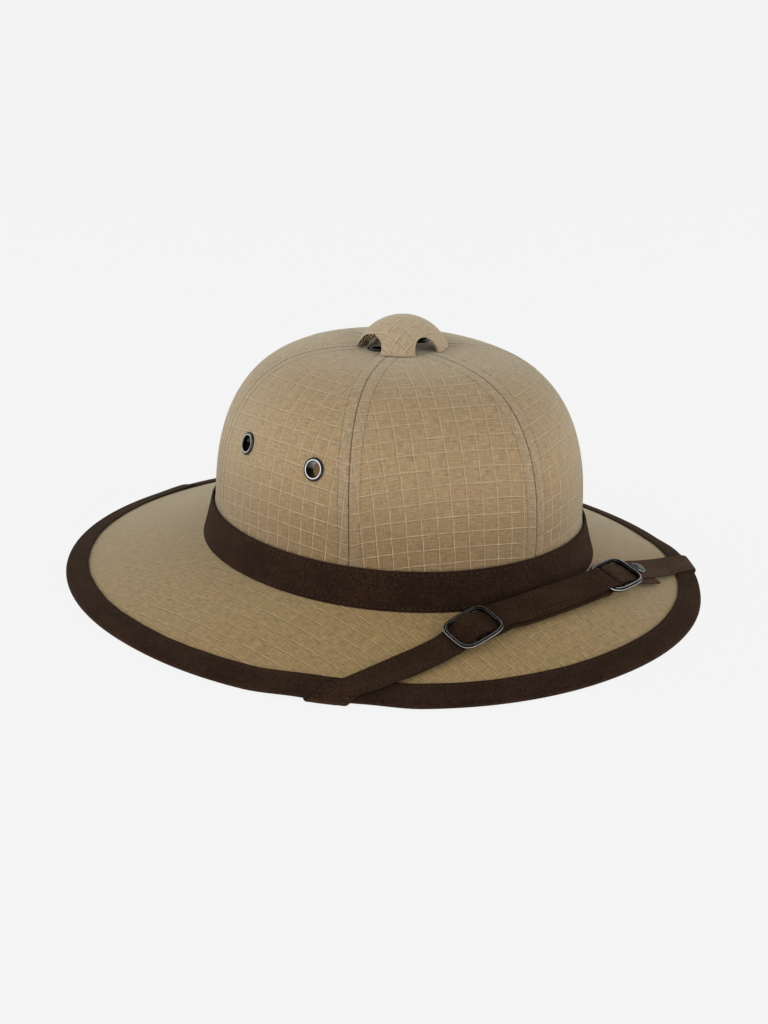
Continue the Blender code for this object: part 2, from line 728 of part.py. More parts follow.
def hidden_stations(crossing):
    """From inside the crown, down its wall, out under the brim and to the start of the edge."""
    anchor = crossing["side"] * crossing["anchor"]
    half = math.degrees(STRAP_WIDTH / 2 / 92.0)
    stations = []
    wall_rows = [(level, STRAP_ON_CROWN, None) for level in reversed(ANCHOR_HEIGHT_LEVELS)]
    bend = STRAP_ON_CROWN - CROWN_WALL + 0.1
    for turn in (0, 45, 90):
        inset = CROWN_WALL + bend * math.cos(math.radians(turn))
        z = BAND_LINE_Z - CROWN_RIM_DROP - bend * math.sin(math.radians(turn))
        wall_rows.append((-1.0, inset, z))
    wall_rows.append((-1.0, 0.5, wall_rows[-1][2]))
    for level, inset, z in wall_rows:
        points = []
        for part in (1, 0, -1):
            point = crown_point(anchor + crossing["side"] * part * half, level, inset)
            if z is not None:
                point[2] = z
            points.append(point)
        stations.append(points)
    middle = np.array([points[1] for points in stations])
    tangents = np.gradient(middle, axis=0)
    wall = []
    for points, tangent in zip(stations, tangents):
        across = points[0] - points[2]
        normal = unit(np.cross(across, tangent)) * crossing["side"]
        wall.append(np.array([points, [normal] * 3]))
    turn = math.pi * STRAP_AROUND_EDGE
    start = crossing_angle(crossing, turn)
    span = brim_span(crossing["side"] * crossing["anchor"])
    under = []
    for part in (0.93, 0.78, 0.6, 0.42, 0.24, 0.12):
        inward = span * part
        ease = inward / span
        lean = 3 * ease**2 - 2 * ease**3
        slide = crossing["wrap_turn"] * span * (ease - 2 * ease**2 + ease**3)
        angle = start + (crossing["anchor"] - start) * lean + slide
        height = STRAP_UNDER_BRIM if part > 0.3 else STRAP_AROUND_EDGE
        wide = half + (half_angle(crossing, start, 0.0) - half) * (1 - ease)
        run = math.pi * height + inward
        under.append(skin_station(crossing, angle, run, height, wide))
    return wall + under


def edge_stations(crossing):
    """Round the edge, from underneath to the inner edge of the binding on top."""
    turn = math.pi * STRAP_AROUND_EDGE
    runs = [turn + 3.0] + [turn * i / 8 for i in range(8, -1, -1)]
    runs += [-BINDING_WIDTH * i / 3 for i in (1, 2, 3)]
    stations = []
    for run in runs:
        angle = crossing_angle(crossing, run)
        half = half_angle(crossing, angle, run)
        height = STRAP_AROUND_EDGE + (STRAP_GAP if run < 0 else 0)
        stations.append(skin_station(crossing, angle, run, height, half))
    return stations


def brim_station(row):
    """A station laid on the brim at a place seen from above."""
    angle, part = brim_under(row["x"], row["y"])
    point, _, normal = brim_frame(angle, part)
    heading = math.radians(row["heading"])
    ahead = np.array([math.cos(heading), math.sin(heading), 0.0])
    across = unit(np.cross(normal, ahead)) * STRAP_WIDTH / 2
    middle = point + normal * row["height"]
    return np.array([[middle + across, middle, middle - across], [normal] * 3])


def free_station(row, lower):
    """A station between the buckles, in the upper layer or on the underside of the lower one."""
    heading, tilt = math.radians(row["heading"]), math.radians(row["tilt"])
    ahead = np.array([math.cos(heading), math.sin(heading), 0.0])
    level_across = np.array([-math.sin(heading), math.cos(heading), 0.0])
    across = math.cos(tilt) * level_across + math.sin(tilt) * np.array([0.0, 0.0, 1.0])
    normal = np.cross(ahead, across)
    middle = np.array([row["x"], row["y"], row["z"]])
    if lower:
        middle = middle - normal * STRAP_LAYER_STEP - across * LOWER_LAYER_SLIP
        normal = -normal
    across = across * STRAP_WIDTH / 2
    return np.array([[middle + across, middle, middle - across], [normal] * 3])


def buckle_stations(name, route, facing):
    """Stations through a buckle. Facing is 1 where the strap's outer face is on the left of its way."""
    centre, along, across, above = buckle_frame(name)
    places = np.array([(row["along"], row["above"]) for row in route])
    ways = np.gradient(places, axis=0)
    stations = []
    for row, (x, z), (way_x, way_z) in zip(route, places, ways):
        middle = centre + along * x + above * z - across * row.get("slip", 0.0)
        normal = facing * unit(above * way_x - along * way_z)
        edge = across * STRAP_WIDTH / 2
        stations.append(np.array([[middle + edge, middle, middle - edge], [normal] * 3]))
    return stations


def fill(stations):
    """Adds smooth stations where two neighbours are far apart."""
    filled = []
    for k in range(len(stations) - 1):
        here, after = stations[k], stations[k + 1]
        before = stations[k - 1] if k > 0 else here
        beyond = stations[k + 2] if k + 2 < len(stations) else after
        length = np.linalg.norm(after[0][1] - here[0][1])
        leave = (after - before) * length / (length + np.linalg.norm(here[0][1] - before[0][1]))
        arrive = (beyond - here) * length / (length + np.linalg.norm(beyond[0][1] - after[0][1]))
        filled.append(here)
        pieces = int(length / STRAP_LONGEST_STEP) + 1
        for i in range(1, pieces):
            t = i / pieces
            mixed = (2 * t**3 - 3 * t**2 + 1) * here + (3 * t**2 - 2 * t**3) * after
            mixed = mixed + (t**3 - 2 * t**2 + t) * leave + (t**3 - t**2) * arrive
            mixed[1] = [unit(normal) for normal in mixed[1]]
            filled.append(mixed)
    filled.append(stations[-1])
    return filled


def make_strap(name, stations):
    """A closed strap through its stations."""
    points, faces = [], []
    for middle, normals in fill(stations):
        points.extend(middle + normals * STRAP_THICKNESS / 2)
        points.extend(middle - normals * STRAP_THICKNESS / 2)
    size = 6
    around = (0, 1, 2, 5, 4, 3)
    count = len(points) // size
    for k in range(count - 1):
        for i in range(size):
            a, b = around[i], around[(i + 1) % size]
            faces.append((k * size + a, k * size + b, (k + 1) * size + b, (k + 1) * size + a))
    faces.append(around)
    faces.append(tuple((count - 1) * size + i for i in around))
    return make_object(name, points, faces, "brown_cloth")


def make_long_strap():
    crossing = STRAP_CROSSINGS["long"]
    stations = hidden_stations(crossing) + edge_stations(crossing)
    stations += [brim_station(row) for row in LONG_ON_BRIM]
    stations += buckle_stations("slider_buckle", SLIDER_RUN, 1)
    stations += [free_station(row, False) for row in BETWEEN_BUCKLES]
    stations += buckle_stations("end_buckle", END_FOLD, 1)
    stations += [free_station(row, True) for row in reversed(BETWEEN_BUCKLES)]
    stations += buckle_stations("slider_buckle", SLIDER_END, 1)
    return make_strap("chin_strap_long", stations)


def make_short_strap():
    crossing = STRAP_CROSSINGS["short"]
    stations = hidden_stations(crossing) + edge_stations(crossing)
    stations += [brim_station(row) for row in SHORT_ON_BRIM]
    stations += buckle_stations("end_buckle", SHORT_TURN, -1)
    strap = make_strap("chin_strap_short", stations)
    origin, axis = rivet_place()
    use_boolean(strap, make_drill(origin, axis, RIVET_HOLE, 7.0, RIVET_SIDES), "DIFFERENCE")
    return strap


def build():
    for existing in list(bpy.data.objects):
        bpy.data.objects.remove(existing)
    make_crown()
    make_brim()
    make_binding()
    make_hat_band()
    make_vent_cap()
    make_eyelets()
    for name in BUCKLES:
        make_buckle(name)
    make_long_strap()
    make_short_strap()
    make_rivet()


build()
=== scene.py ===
"""The finished look of a pith helmet: ripstop cloth over a crown of six gores and a sloping brim, a
brown band and edge binding, a ventilator cap, eyelets, and a chin strap in two runs with two buckles.

Lengths are in millimetres until a mesh is made; meshes are in metres, +Z up, front towards -Y. An
angle round the hat starts at the front and grows towards +X."""

import math

import bmesh
import bpy
import numpy as np
from mathutils import Matrix, Vector


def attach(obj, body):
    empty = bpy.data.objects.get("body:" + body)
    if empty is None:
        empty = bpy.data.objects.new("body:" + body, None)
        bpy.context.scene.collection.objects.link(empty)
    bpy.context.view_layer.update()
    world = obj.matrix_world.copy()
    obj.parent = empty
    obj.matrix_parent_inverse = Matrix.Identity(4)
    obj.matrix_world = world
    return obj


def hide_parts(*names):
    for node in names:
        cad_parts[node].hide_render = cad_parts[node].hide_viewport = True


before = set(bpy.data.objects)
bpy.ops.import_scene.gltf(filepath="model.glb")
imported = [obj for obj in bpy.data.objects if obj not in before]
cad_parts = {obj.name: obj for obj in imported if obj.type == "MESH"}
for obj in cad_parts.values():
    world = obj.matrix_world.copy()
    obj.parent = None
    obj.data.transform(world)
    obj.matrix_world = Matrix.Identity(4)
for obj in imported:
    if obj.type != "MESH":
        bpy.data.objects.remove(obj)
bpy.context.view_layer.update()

MM = 0.001

# ---------------------------------------------------------------- sizes shared with the solids

EDGE_Z = 2.0
BRIM_HALF_LENGTH = 171.3
BRIM_HALF_WIDTH = 154.2
BRIM_SQUARENESS = 2.08
BRIM_SAG = 0.05
BRIM_HALF_THICKNESS = 1.0
BINDING_GAP = 0.4
BINDING_WALL = 0.7
BINDING_WIDTH = 11.1
EDGE_RADIUS = BRIM_HALF_THICKNESS + BINDING_GAP + BINDING_WALL
BAND_LINE_Z = EDGE_Z + 21.7
BAND_LINE_HALF_LENGTH = 107.1
BAND_LINE_HALF_WIDTH = 93.4
HEAD_SQUARENESS = 2.08
CROWN_Y = -13.4
BRIM_REACH_UNDER_BAND = 0.9

CROWN_WALL = 3.0
CROWN_HALF_LENGTH = 101.1
CROWN_HALF_WIDTH = 86.1
SPRING_HEIGHT = 20.6
CROWN_FOOT_HALF_LENGTH = 105.3
CROWN_FOOT_HALF_WIDTH = 91.6
CROWN_HEIGHT = 103.5
CROWN_APEX_FORWARD = 3.8
CROWN_SIDE_POWER = 3.67
CROWN_TOP_POWER = 2.43
CROWN_RIM_DROP = 2.0

BAND_HEIGHT = 19.0
BAND_WAVE = 0.5
BAND_WALL = 1.3
BAND_TOP_HALF_LENGTH = 103.2
BAND_TOP_HALF_WIDTH = 88.3
BAND_FLARE_POWER = 1.15
BAND_FOOT_GAP = 0.4

EYELET_HOLE = 4.4
CAP_BASE_RADIUS = 22.8
CAP_RISE = 15.2
CAP_WALL = 1.8
CAP_ARCH_DROP = 2.1
CAP_ARCH_HEIGHT = 9.7
CAP_ARCH_SQUARENESS = 2.3
CAP_ARCHES = ({"turn": -7.5, "half_width": 7.1}, {"turn": -97.0, "half_width": 10.4})
CAP_BASE_Z = BAND_LINE_Z + CROWN_HEIGHT + 0.3
CAP_Y = CROWN_Y - CROWN_APEX_FORWARD
CAP_DOME_RADIUS = (CAP_BASE_RADIUS**2 + CAP_RISE**2) / (2 * CAP_RISE)

STRAP_WIDTH = 15.0
STRAP_THICKNESS = 1.1
STRAP_GAP = 0.4
STRAP_LAYER_STEP = 1.5
LOWER_LAYER_SLIP = 1.4
STRAP_AROUND_EDGE = EDGE_RADIUS + STRAP_GAP + STRAP_THICKNESS / 2
STRAP_ON_CROWN = CROWN_WALL + 0.6 + STRAP_THICKNESS / 2
STRAP_UNDER_BRIM = BRIM_HALF_THICKNESS + 2 * STRAP_GAP + STRAP_THICKNESS / 2
ANCHOR_HEIGHT_LEVELS = (-0.94, -0.7, -0.45, -0.2)
STRAP_CROSSINGS = {
    "long": {"side": -1, "angle": 50.1, "turn": 0.43, "wrap_turn": 0.28, "lift": 51.6, "anchor": 70.0},
    "short": {"side": 1, "angle": 52.2, "turn": 0.35, "wrap_turn": 0.25, "lift": 53.6, "anchor": 70.0},
}
HEAD_RADIUS = 92.0  # about, where the strap goes up the inside of the crown
ANCHOR_HALF_ANGLE = math.degrees(STRAP_WIDTH / 2 / HEAD_RADIUS)
STRAP_RIM_BEND = STRAP_ON_CROWN - CROWN_WALL + 0.1  # radius of its turn round the crown's rim
STRAP_TURN_INSET = 0.5  # of its last place under that rim
BINDING_PART = 0.3  # of the brim's width, past the binding
UNDER_BRIM_PARTS = (0.93, 0.78, 0.6, 0.42, 0.24, 0.12)  # of the way from the edge to the crown
EDGE_LIFT = 1.5
EDGE_LIFT_HALF = 5.2
EDGE_LIFT_RAMP = 9.5

CENTRE_BAR_RADIUS = 0.8
CENTRE_BAR_DROP = 2.2
BUCKLE_LENGTH = 24.6
BUCKLE_WIDTH = 18.2
BUCKLES = {
    "slider_buckle": {"centre": (-50.0, -124.6, 22.9), "heading": -2.2, "climb": 13.2, "tilt": 19.5},
    "end_buckle": {"centre": (47.2, -123.5, 23.8), "heading": 8.2, "climb": -0.7, "tilt": 20.0},
}
RIVET_ALONG = 22.8
RIVET_SLOPE = 16.0
RIVET_ABOVE = -3.8

# Degrees round the hat where each seam between two gores meets the band and the apex.
SEAMS = (
    {"at_band": 0.0, "at_apex": 0.0},
    {"at_band": 59.7, "at_apex": 65.9},
    {"at_band": 118.5, "at_apex": 124.7},
    {"at_band": 180.0, "at_apex": 180.0},
    {"at_band": 241.5, "at_apex": 235.3},
    {"at_band": 300.3, "at_apex": 294.1},
)
# Where each eyelet is, in degrees round the hat and as a crown level, and how strong the highlight painted on
# its ring is.
EYELETS = (
    {"name": "side_eyelet_right_rear", "angle": -103.8, "level": 0.288, "painted_highlight": 0.8},
    {"name": "side_eyelet_right_front", "angle": -73.3, "level": 0.282},
    {"name": "side_eyelet_left_rear", "angle": 103.8, "level": 0.288},
    {"name": "side_eyelet_left_front", "angle": 73.3, "level": 0.282},
    {"name": "top_eyelet_right", "angle": -100.1, "level": 0.979, "painted_highlight": 30.0},
    {"name": "top_eyelet_left", "angle": 100.1, "level": 0.979, "painted_highlight": 0.2},
)
# The strap's way through its buckles, in the directions of the buckle that it passes: places along and
# above the buckle's centre, and how far the strap has slipped sideways there.
SLIDER_RUN = (
    {"along": -12.3, "above": -2.0, "slip": -0.4},
    {"along": -8.3, "above": -1.9, "slip": -0.9},
    {"along": -5.2, "above": -0.5, "slip": -1.2},
    {"along": -2.2, "above": 0.75, "slip": -1.3},
    {"along": 0.0, "above": 0.9, "slip": -1.3},
    {"along": 2.2, "above": 0.75, "slip": -1.1},
    {"along": 5.2, "above": -0.3, "slip": -0.6},
    {"along": 8.5, "above": -1.4, "slip": -0.3},
    {"along": 12.3, "above": -1.9},
    {"along": 17.0, "above": -2.3},
)
END_FOLD = (
    {"along": -19.0, "above": 2.0},
    {"along": -13.5, "above": 1.95},
    {"along": -8.3, "above": 1.95},
    {"along": -6.9, "above": 1.38},
    {"along": -6.35, "above": 0.0},
    {"along": -6.9, "above": -1.38},
    {"along": -8.3, "above": -1.95},
    {"along": -14.0, "above": -1.9, "slip": 1.0},
    {"along": -19.5, "above": -0.6, "slip": 1.4},
)
SLIDER_END = (
    {"along": 17.0, "above": -3.9, "slip": 1.8},
    {"along": 12.3, "above": -3.5, "slip": 1.7},
    {"along": 6.0, "above": -3.8, "slip": 0.7},
    {"along": 0.0, "above": -3.9},
    {"along": -1.25, "above": -3.35},
    {"along": -1.7, "above": -2.2},
    {"along": -1.25, "above": -1.05},
    {"along": 0.0, "above": -0.55},
    {"along": 1.8, "above": -0.9},
    {"along": 3.4, "above": -1.5},
)
SHORT_TURN = (
    {"along": 31.0, "above": -6.4},
    {"along": 22.5, "above": -3.8},
    {"along": 17.0, "above": -2.6},
    {"along": 12.3, "above": -1.95},
    {"along": 6.0, "above": -0.8, "slip": -0.8},
    {"along": 0.0, "above": -0.5, "slip": -1.3},
    {"along": -1.2, "above": -1.0, "slip": -1.2},
    {"along": -1.7, "above": -2.2},
    {"along": -1.2, "above": -3.4},
    {"along": 0.0, "above": -3.9},
    {"along": 6.0, "above": -3.75},
    {"along": 12.3, "above": -3.5, "slip": 0.4},
    {"along": 17.0, "above": -4.2, "slip": 2.0},
    {"along": 22.5, "above": -5.3, "slip": 3.1},
    {"along": 30.6, "above": -7.5, "slip": 3.8},
)
# The strap's way over the brim, and between the buckles.
LONG_ON_BRIM = (
    {"x": -88.0, "y": -118.5, "height": 3.0, "heading": -10.0},
    {"x": -77.0, "y": -120.4, "height": 2.9, "heading": -10.0},
    {"x": -68.0, "y": -121.9, "height": 3.4, "heading": -9.0},
)
SHORT_ON_BRIM = ({"x": 94.5, "y": -112.2, "height": 3.2, "heading": 11.0},)
BETWEEN_BUCKLES = (
    {"x": -23.0, "y": -126.7, "z": 25.3, "heading": -6.0, "tilt": 27.0},
    {"x": 6.0, "y": -128.4, "z": 26.1, "heading": 1.0, "tilt": 28.0},
)

# ---------------------------------------------------------------- sizes of the finish

CLOTH_UV = "cloth"  # millimetres along and across the cloth
SEAM_MARK = "seam"  # millimetres from the nearest seam; on metal, how strong its painted highlight is
FAR_FROM_SEAM = 99.0
TURNED_CLOTH = 0.1  # millimetres of cloth for a degree round a turned piece
CLOTH_NORMAL = "cloth_normal"  # of the cloth under a line of stitches
SHARP_FROM = 50.0  # degrees between the two faces of a sharp edge
CROWN_SHARP_FROM = 60.0
FOLD_ROUNDING = 0.45  # of the cap's folded edges

RIB_PITCH = 7.6  # of the ripstop's thicker threads
RIB_HALF_WIDTH = 0.3
RIB_SHADOW_OFFSET = 0.66  # of the painted shadow beside a thicker thread
THREAD_PITCH = 0.5  # of the ripstop's plain weave
CANVAS_PITCH = 0.62
PAINTED_LIGHT_START = 45.0  # height where the crown's cloth starts to be paler, a painted light that brightens its upper part
PAINTED_LIGHT_END = 92.0

# How each gore's cloth lies: where its ribs fall, how they lean near the band, and how its cross ribs
# bow up in the middle.
GORE_CLOTH = (
    {"slide_u": 0.0, "slide_v": 0.5, "lean": -2.3, "squeeze": 0.05, "bow": 0.0029, "bow_centre": -7.0},
    {"slide_u": 1.0, "slide_v": 3.0, "lean": 2.0, "squeeze": 0.0, "bow": 0.002, "bow_centre": 0.0},
    {"slide_u": 2.5, "slide_v": 1.0, "lean": -1.0, "squeeze": 0.0, "bow": 0.002, "bow_centre": 0.0},
    {"slide_u": -1.5, "slide_v": 5.0, "lean": 1.0, "squeeze": 0.0, "bow": 0.002, "bow_centre": 0.0},
    {"slide_u": 0.0, "slide_v": 0.0, "lean": -3.0, "squeeze": 0.0, "bow": 0.0019, "bow_centre": 8.0},
    {"slide_u": 4.3, "slide_v": 2.2, "lean": 2.3, "squeeze": 0.05, "bow": 0.0029, "bow_centre": 7.0},
)
BRIM_CLOTH_TURN = 3.8
BRIM_CLOTH_STRETCH = 1.04
BRIM_CLOTH_SLIDE = (2.0, 1.0)
BAND_BACK_CLOTH = 30.0  # moves the weave on the hidden face
STRAP_BACK_CLOTH = 40.0
CAP_CLOTH_TURN = 8.0
CAP_CLOTH_SLIDE = (-1.2, -1.0)

TOPSTITCH_OFFSET = 5.9  # of a gore's topstitching from its seam
TOPSTITCH_LIMIT = 0.42  # of a gore's width, where its two seams come close
TOPSTITCHED_LEVELS = (-0.02, 0.955)  # on the crown, from just above the band to under the cap
TOPSTITCH_SINK = 0.03  # of a stitch's middle below the cloth
TRIM_SINK = 0.05  # the same on the band and the strap
STITCH_INSET = 2.1  # of the binding's and strap's stitching from their edges
BAND_STITCH_HEIGHTS = (1.7, 17.3)
STITCH_DENT_WIDTH = 0.5
SEAM_DIP = 0.18
SEAM_RELIEF_ENDS = (0.985, 0.93)  # crown levels where the seams are flat, and where they stand in full
TOPSTITCH_DIP = 0.05
ALLOWANCE_SWELL = 0.1  # of the cloth over the folded edges beside a seam
BINDING_DENT = 0.12
BINDING_THINNING = 0.28  # of the tape towards its sewn edges
TRIM_DENT = 0.13  # of the band and the strap under their stitches
STITCH_CLEARANCE = 0.28  # of a stitch's middle from the rest plane, where the strap lies on it
STITCHED_SHARE = (0.02, 0.98)  # of a strap run's length, where its rows of stitches start and end
STITCH_SMALLEST = (0.88, 0.85, 0.85)  # shares of a stitch's length, width and height
STITCH_LARGEST = (1.1, 1.15, 1.15)
HOLE_STRETCH = 1.25  # length of a needle hole's shadow, as a share of the gap between two stitches
HOLE_SPREAD = 1.15  # width of that shadow, as a share of a stitch's width
HOLE_HEIGHT = 0.12
TRIM_STITCH = {"pitch": 2.9, "length": 2.0, "width": 0.4, "height": 0.32}
STRAP_STITCH = {"pitch": 2.9, "length": 2.1, "width": 0.42, "height": 0.34}
STITCHING = {
    "crown_topstitching": {"pitch": 2.2, "length": 1.35, "width": 0.36, "height": 0.3, "seed": 3},
    "hat_band_stitches": {**TRIM_STITCH, "seed": 11},
    "brim_binding_stitches": {**TRIM_STITCH, "seed": 21},
    "chin_strap_long_stitches": {**STRAP_STITCH, "seed": 31},
    "chin_strap_short_stitches": {**STRAP_STITCH, "seed": 31},
}

COARSE_STEP = 9.0  # longest between the strap's stations, in a first round of smoothing
FINE_STEP = 2.2  # and in a second one
STRAP_EDGE_SHARE = 0.35  # of the strap's thickness that is left at its very edge
STRAP_EDGE_ROUND = 0.45  # how far in from there it is full

BINDING_LAP = 0.7  # thickness that the tape's folded end adds
LAP_START = 181.2  # degrees round the hat
LAP_FADE = 189.0
LAP_STEP = 0.3

CAP_CUTTER_REACH = 30.0  # of the body that cuts an arch, each way
CAP_INNER_SLACK = 0.3  # of the lined inner face, at its folded edges
DRILL_REACH = (6.0, -8.0)  # of an eyelet's drill, outside and inside the crown's surface
FRAY_COUNT = 84
FRAY_RADIUS = 0.19

EYELET_CREST = 4.4  # radius of the roll's highest line
EYELET_HIGHLIGHT_SPREAD = 0.34  # how far from the crest the painted highlight reaches
BUCKLE_SQUARENESS = 4.0
WIRE_LOOK_RADIUS = 1.2
WIRE_SIDES = 40
BAR_SIDES = 14
# Where each wire has settled on its strap, and how much its ends are pulled wider.
BUCKLE_FIT = {
    "slider_buckle": {"along": 0.2, "across": 0.15, "wider": 1.0},
    "end_buckle": {"along": 0.9, "across": -0.2, "wider": 1.05},
}
# Lines along the wire where a highlight is painted, in degrees above its outermost line.
PAINTED_HIGHLIGHT_LINES = (
    {"middle": 14.0, "width": 15.0, "strength": 1.0},
    {"middle": 86.0, "width": 8.0, "strength": 0.75},
)

# ---------------------------------------------------------------- colours

SHEEN = 0.75
TRIM_SHEEN = 0.085
SHEEN_TAN = (0.97, 0.97, 0.82, 1.0)
SHEEN_BROWN = (1.0, 0.75, 0.50, 1.0)
# The crown's cloth at its foot, and the paler colour towards its top that is painted light.
CLOTH_TAN = (0.330, 0.214, 0.108, 1.0)
CLOTH_PAINTED_LIGHT_TOP = (0.464, 0.320, 0.178, 1.0)
CLOTH_BRIM = (0.396, 0.253, 0.098, 1.0)
# The cap's cloth, painted paler than the crown's as painted light on the top of the hat.
CLOTH_CAP_PAINTED_LIGHT = (0.584, 0.438, 0.282, 1.0)
CLOTH_GREENER = (0.965, 1.0, 0.99, 1.0)
CLOTH_RIB = (0.70, 0.55, 0.345, 1.0)
# The cap's thicker threads, painted paler in the same way.
CAP_RIB_PAINTED_LIGHT = (0.80, 0.65, 0.44, 1.0)
ALLOWANCE_TINT = (1.02, 1.06, 1.15, 1.0)  # a little greyer over the folded edges beside a seam
# Painted shade along the seams' creases.
CREASE_PAINTED_SHADE = (0.31, 0.24, 0.17, 1.0)
TRIM_BROWN = (0.0275, 0.0137, 0.0088, 1.0)
TRIM_WORN = (0.037, 0.0190, 0.0120, 1.0)
STRAP_BROWN = (0.0330, 0.0164, 0.0096, 1.0)
STRAP_WORN = (0.0440, 0.0225, 0.0130, 1.0)
SHORT_BROWN = (0.058, 0.0335, 0.0220, 1.0)
SHORT_WORN = (0.080, 0.0490, 0.0330, 1.0)
METAL_DARK = (0.044, 0.043, 0.042, 1.0)
WIRE_DARK = (0.018, 0.018, 0.019, 1.0)
# Painted highlights on the buckle wires.
WIRE_HIGHLIGHT = (0.78, 0.77, 0.76, 1.0)
# Painted highlights on the eyelets and the rivet.
METAL_HIGHLIGHT = (0.66, 0.65, 0.64, 1.0)
LINING_TAN = (0.26, 0.165, 0.085, 1.0)
# Near-black cloth inside the cap: painted shade.
LINING_PAINTED_SHADE = (0.030, 0.031, 0.032, 1.0)
THREAD_TAN = (0.36, 0.265, 0.155, 1.0)
THREAD_BROWN = (0.066, 0.047, 0.031, 1.0)
THREAD_WORN = (0.145, 0.095, 0.065, 1.0)
# Painted shadows of the needle holes, on the tan cloth and on the brown trims.
HOLE_SHADOW_TAN = (0.200, 0.130, 0.068, 1.0)
HOLE_SHADOW_BROWN = (0.012, 0.0065, 0.0045, 1.0)
RIVET_DARK = (0.066, 0.078, 0.080, 1.0)
FRAY_BROWN = (0.045, 0.032, 0.018, 1.0)
FRAY_PALE = (0.50, 0.38, 0.23, 1.0)

# ---------------------------------------------------------------- shared helpers

UPRIGHT = np.array([0.0, 0.0, 1.0])


def unit(vectors):
    return vectors / np.linalg.norm(vectors, axis=-1, keepdims=True)


def ease(value, start, end):
    """A smooth step from 0 at the start to 1 at the end."""
    part = np.clip((value - start) / (end - start), 0, 1)
    return part * part * (3 - 2 * part)


def near_line(off, width):
    """How near a place is to a line: 1 on it, and about a third at this width from it."""
    return np.exp(-((off / width) ** 2))


def level_ways(heading):
    """The level directions along a heading and square to it, on its left."""
    turn = math.radians(heading)
    ahead = np.array([math.cos(turn), math.sin(turn), 0.0])
    return ahead, np.cross(UPRIGHT, ahead)


def closed(grid):
    """The grid with its first column repeated at the end."""
    return np.concatenate([grid, grid[:, :1]], axis=1)


def path_length(points, axis):
    """Running length along an axis of a grid of points, starting at 0."""
    steps = np.linalg.norm(np.diff(points, axis=axis), axis=-1)
    return np.concatenate([np.zeros_like(np.take(steps, [0], axis)), np.cumsum(steps, axis)], axis)


def pressed(points, lowest=0.0):
    """Points of what lies on the rest plane, pressed flat on it."""
    points = points.copy()
    points[..., 2] = np.maximum(points[..., 2], lowest)
    return points


def ring(half_length, half_width, squareness, centre_y, angle):
    """Points on a rounded oval seen from above."""
    cos, sin = np.cos(np.radians(angle)), np.sin(np.radians(angle))
    reach = (np.abs(cos) ** squareness + np.abs(sin) ** squareness) ** (-1 / squareness)
    return half_width * reach * sin, centre_y - half_length * reach * cos


# ---------------------------------------------------------------- the brim's surface


def edge_lift(angle):
    """How far the edge is pushed up over each crossing of the strap."""
    signed = (angle + 180) % 360 - 180
    lift = np.where(signed > 0, STRAP_CROSSINGS["short"]["lift"], STRAP_CROSSINGS["long"]["lift"])
    off = np.abs(np.abs(signed) - lift) - EDGE_LIFT_HALF
    return EDGE_LIFT * ease(1 - off / EDGE_LIFT_RAMP, 0, 1)


def brim_mid(angle, part):
    """The middle of the brim's thickness: part 0 is the band line and 1 the edge."""
    inner_x, inner_y = ring(BAND_LINE_HALF_LENGTH, BAND_LINE_HALF_WIDTH, HEAD_SQUARENESS, CROWN_Y, angle)
    outer_x, outer_y = ring(BRIM_HALF_LENGTH, BRIM_HALF_WIDTH, BRIM_SQUARENESS, 0.0, angle)
    top = BAND_LINE_Z - BRIM_HALF_THICKNESS
    drop = part + BRIM_SAG * (part * part - part)
    x = inner_x + (outer_x - inner_x) * part
    y = inner_y + (outer_y - inner_y) * part
    z = top + (EDGE_Z - top) * drop + edge_lift(angle) * np.clip(part, 0, None) ** 2
    return np.stack([x, y, z], -1)


def brim_frame(angle, part):
    """The point, the direction outwards down the slope, and the upward normal."""
    step = 0.01
    outward = unit(brim_mid(angle, part + step) - brim_mid(angle, part - step))
    around = unit(brim_mid(angle + step, part) - brim_mid(angle - step, part))
    return brim_mid(angle, part), outward, unit(np.cross(outward, around))


def brim_span(angle):
    return np.linalg.norm(brim_mid(angle, 1.0) - brim_mid(angle, 0.0), axis=-1)


def skin(angle, run, height):
    """Points and normals on a layer that wraps the brim at a height from its middle. A run below 0 is
    on top, that far in from the edge; from 0 the layer goes round the edge and in underneath."""
    angle, run = np.broadcast_arrays(np.asarray(angle, float), np.asarray(run, float))
    past = np.clip(run - math.pi * height, 0, None)
    part = 1 + (np.clip(run, None, 0) - past) / brim_span(angle)
    point, outward, normal = brim_frame(angle, part)
    turn = np.clip(run / height, 0, math.pi)[..., None]
    away = normal * np.cos(turn) + outward * np.sin(turn)
    return point + away * np.asarray(height)[..., None], away


def brim_under(x, y):
    """The angle and part of the brim below a place seen from above, by Newton's method."""
    angle, part, step = math.degrees(math.atan2(x, -y)), 0.5, 0.001
    for _ in range(12):
        here = brim_mid(angle, part)[:2]
        turned = (brim_mid(angle + step, part)[:2] - here) / step
        grown = (brim_mid(angle, part + step)[:2] - here) / step
        turn, grow = np.linalg.solve(np.column_stack([turned, grown]), np.array([x, y]) - here)
        angle, part = angle + turn, part + grow
    return angle, part


# ---------------------------------------------------------------- the crown's surface


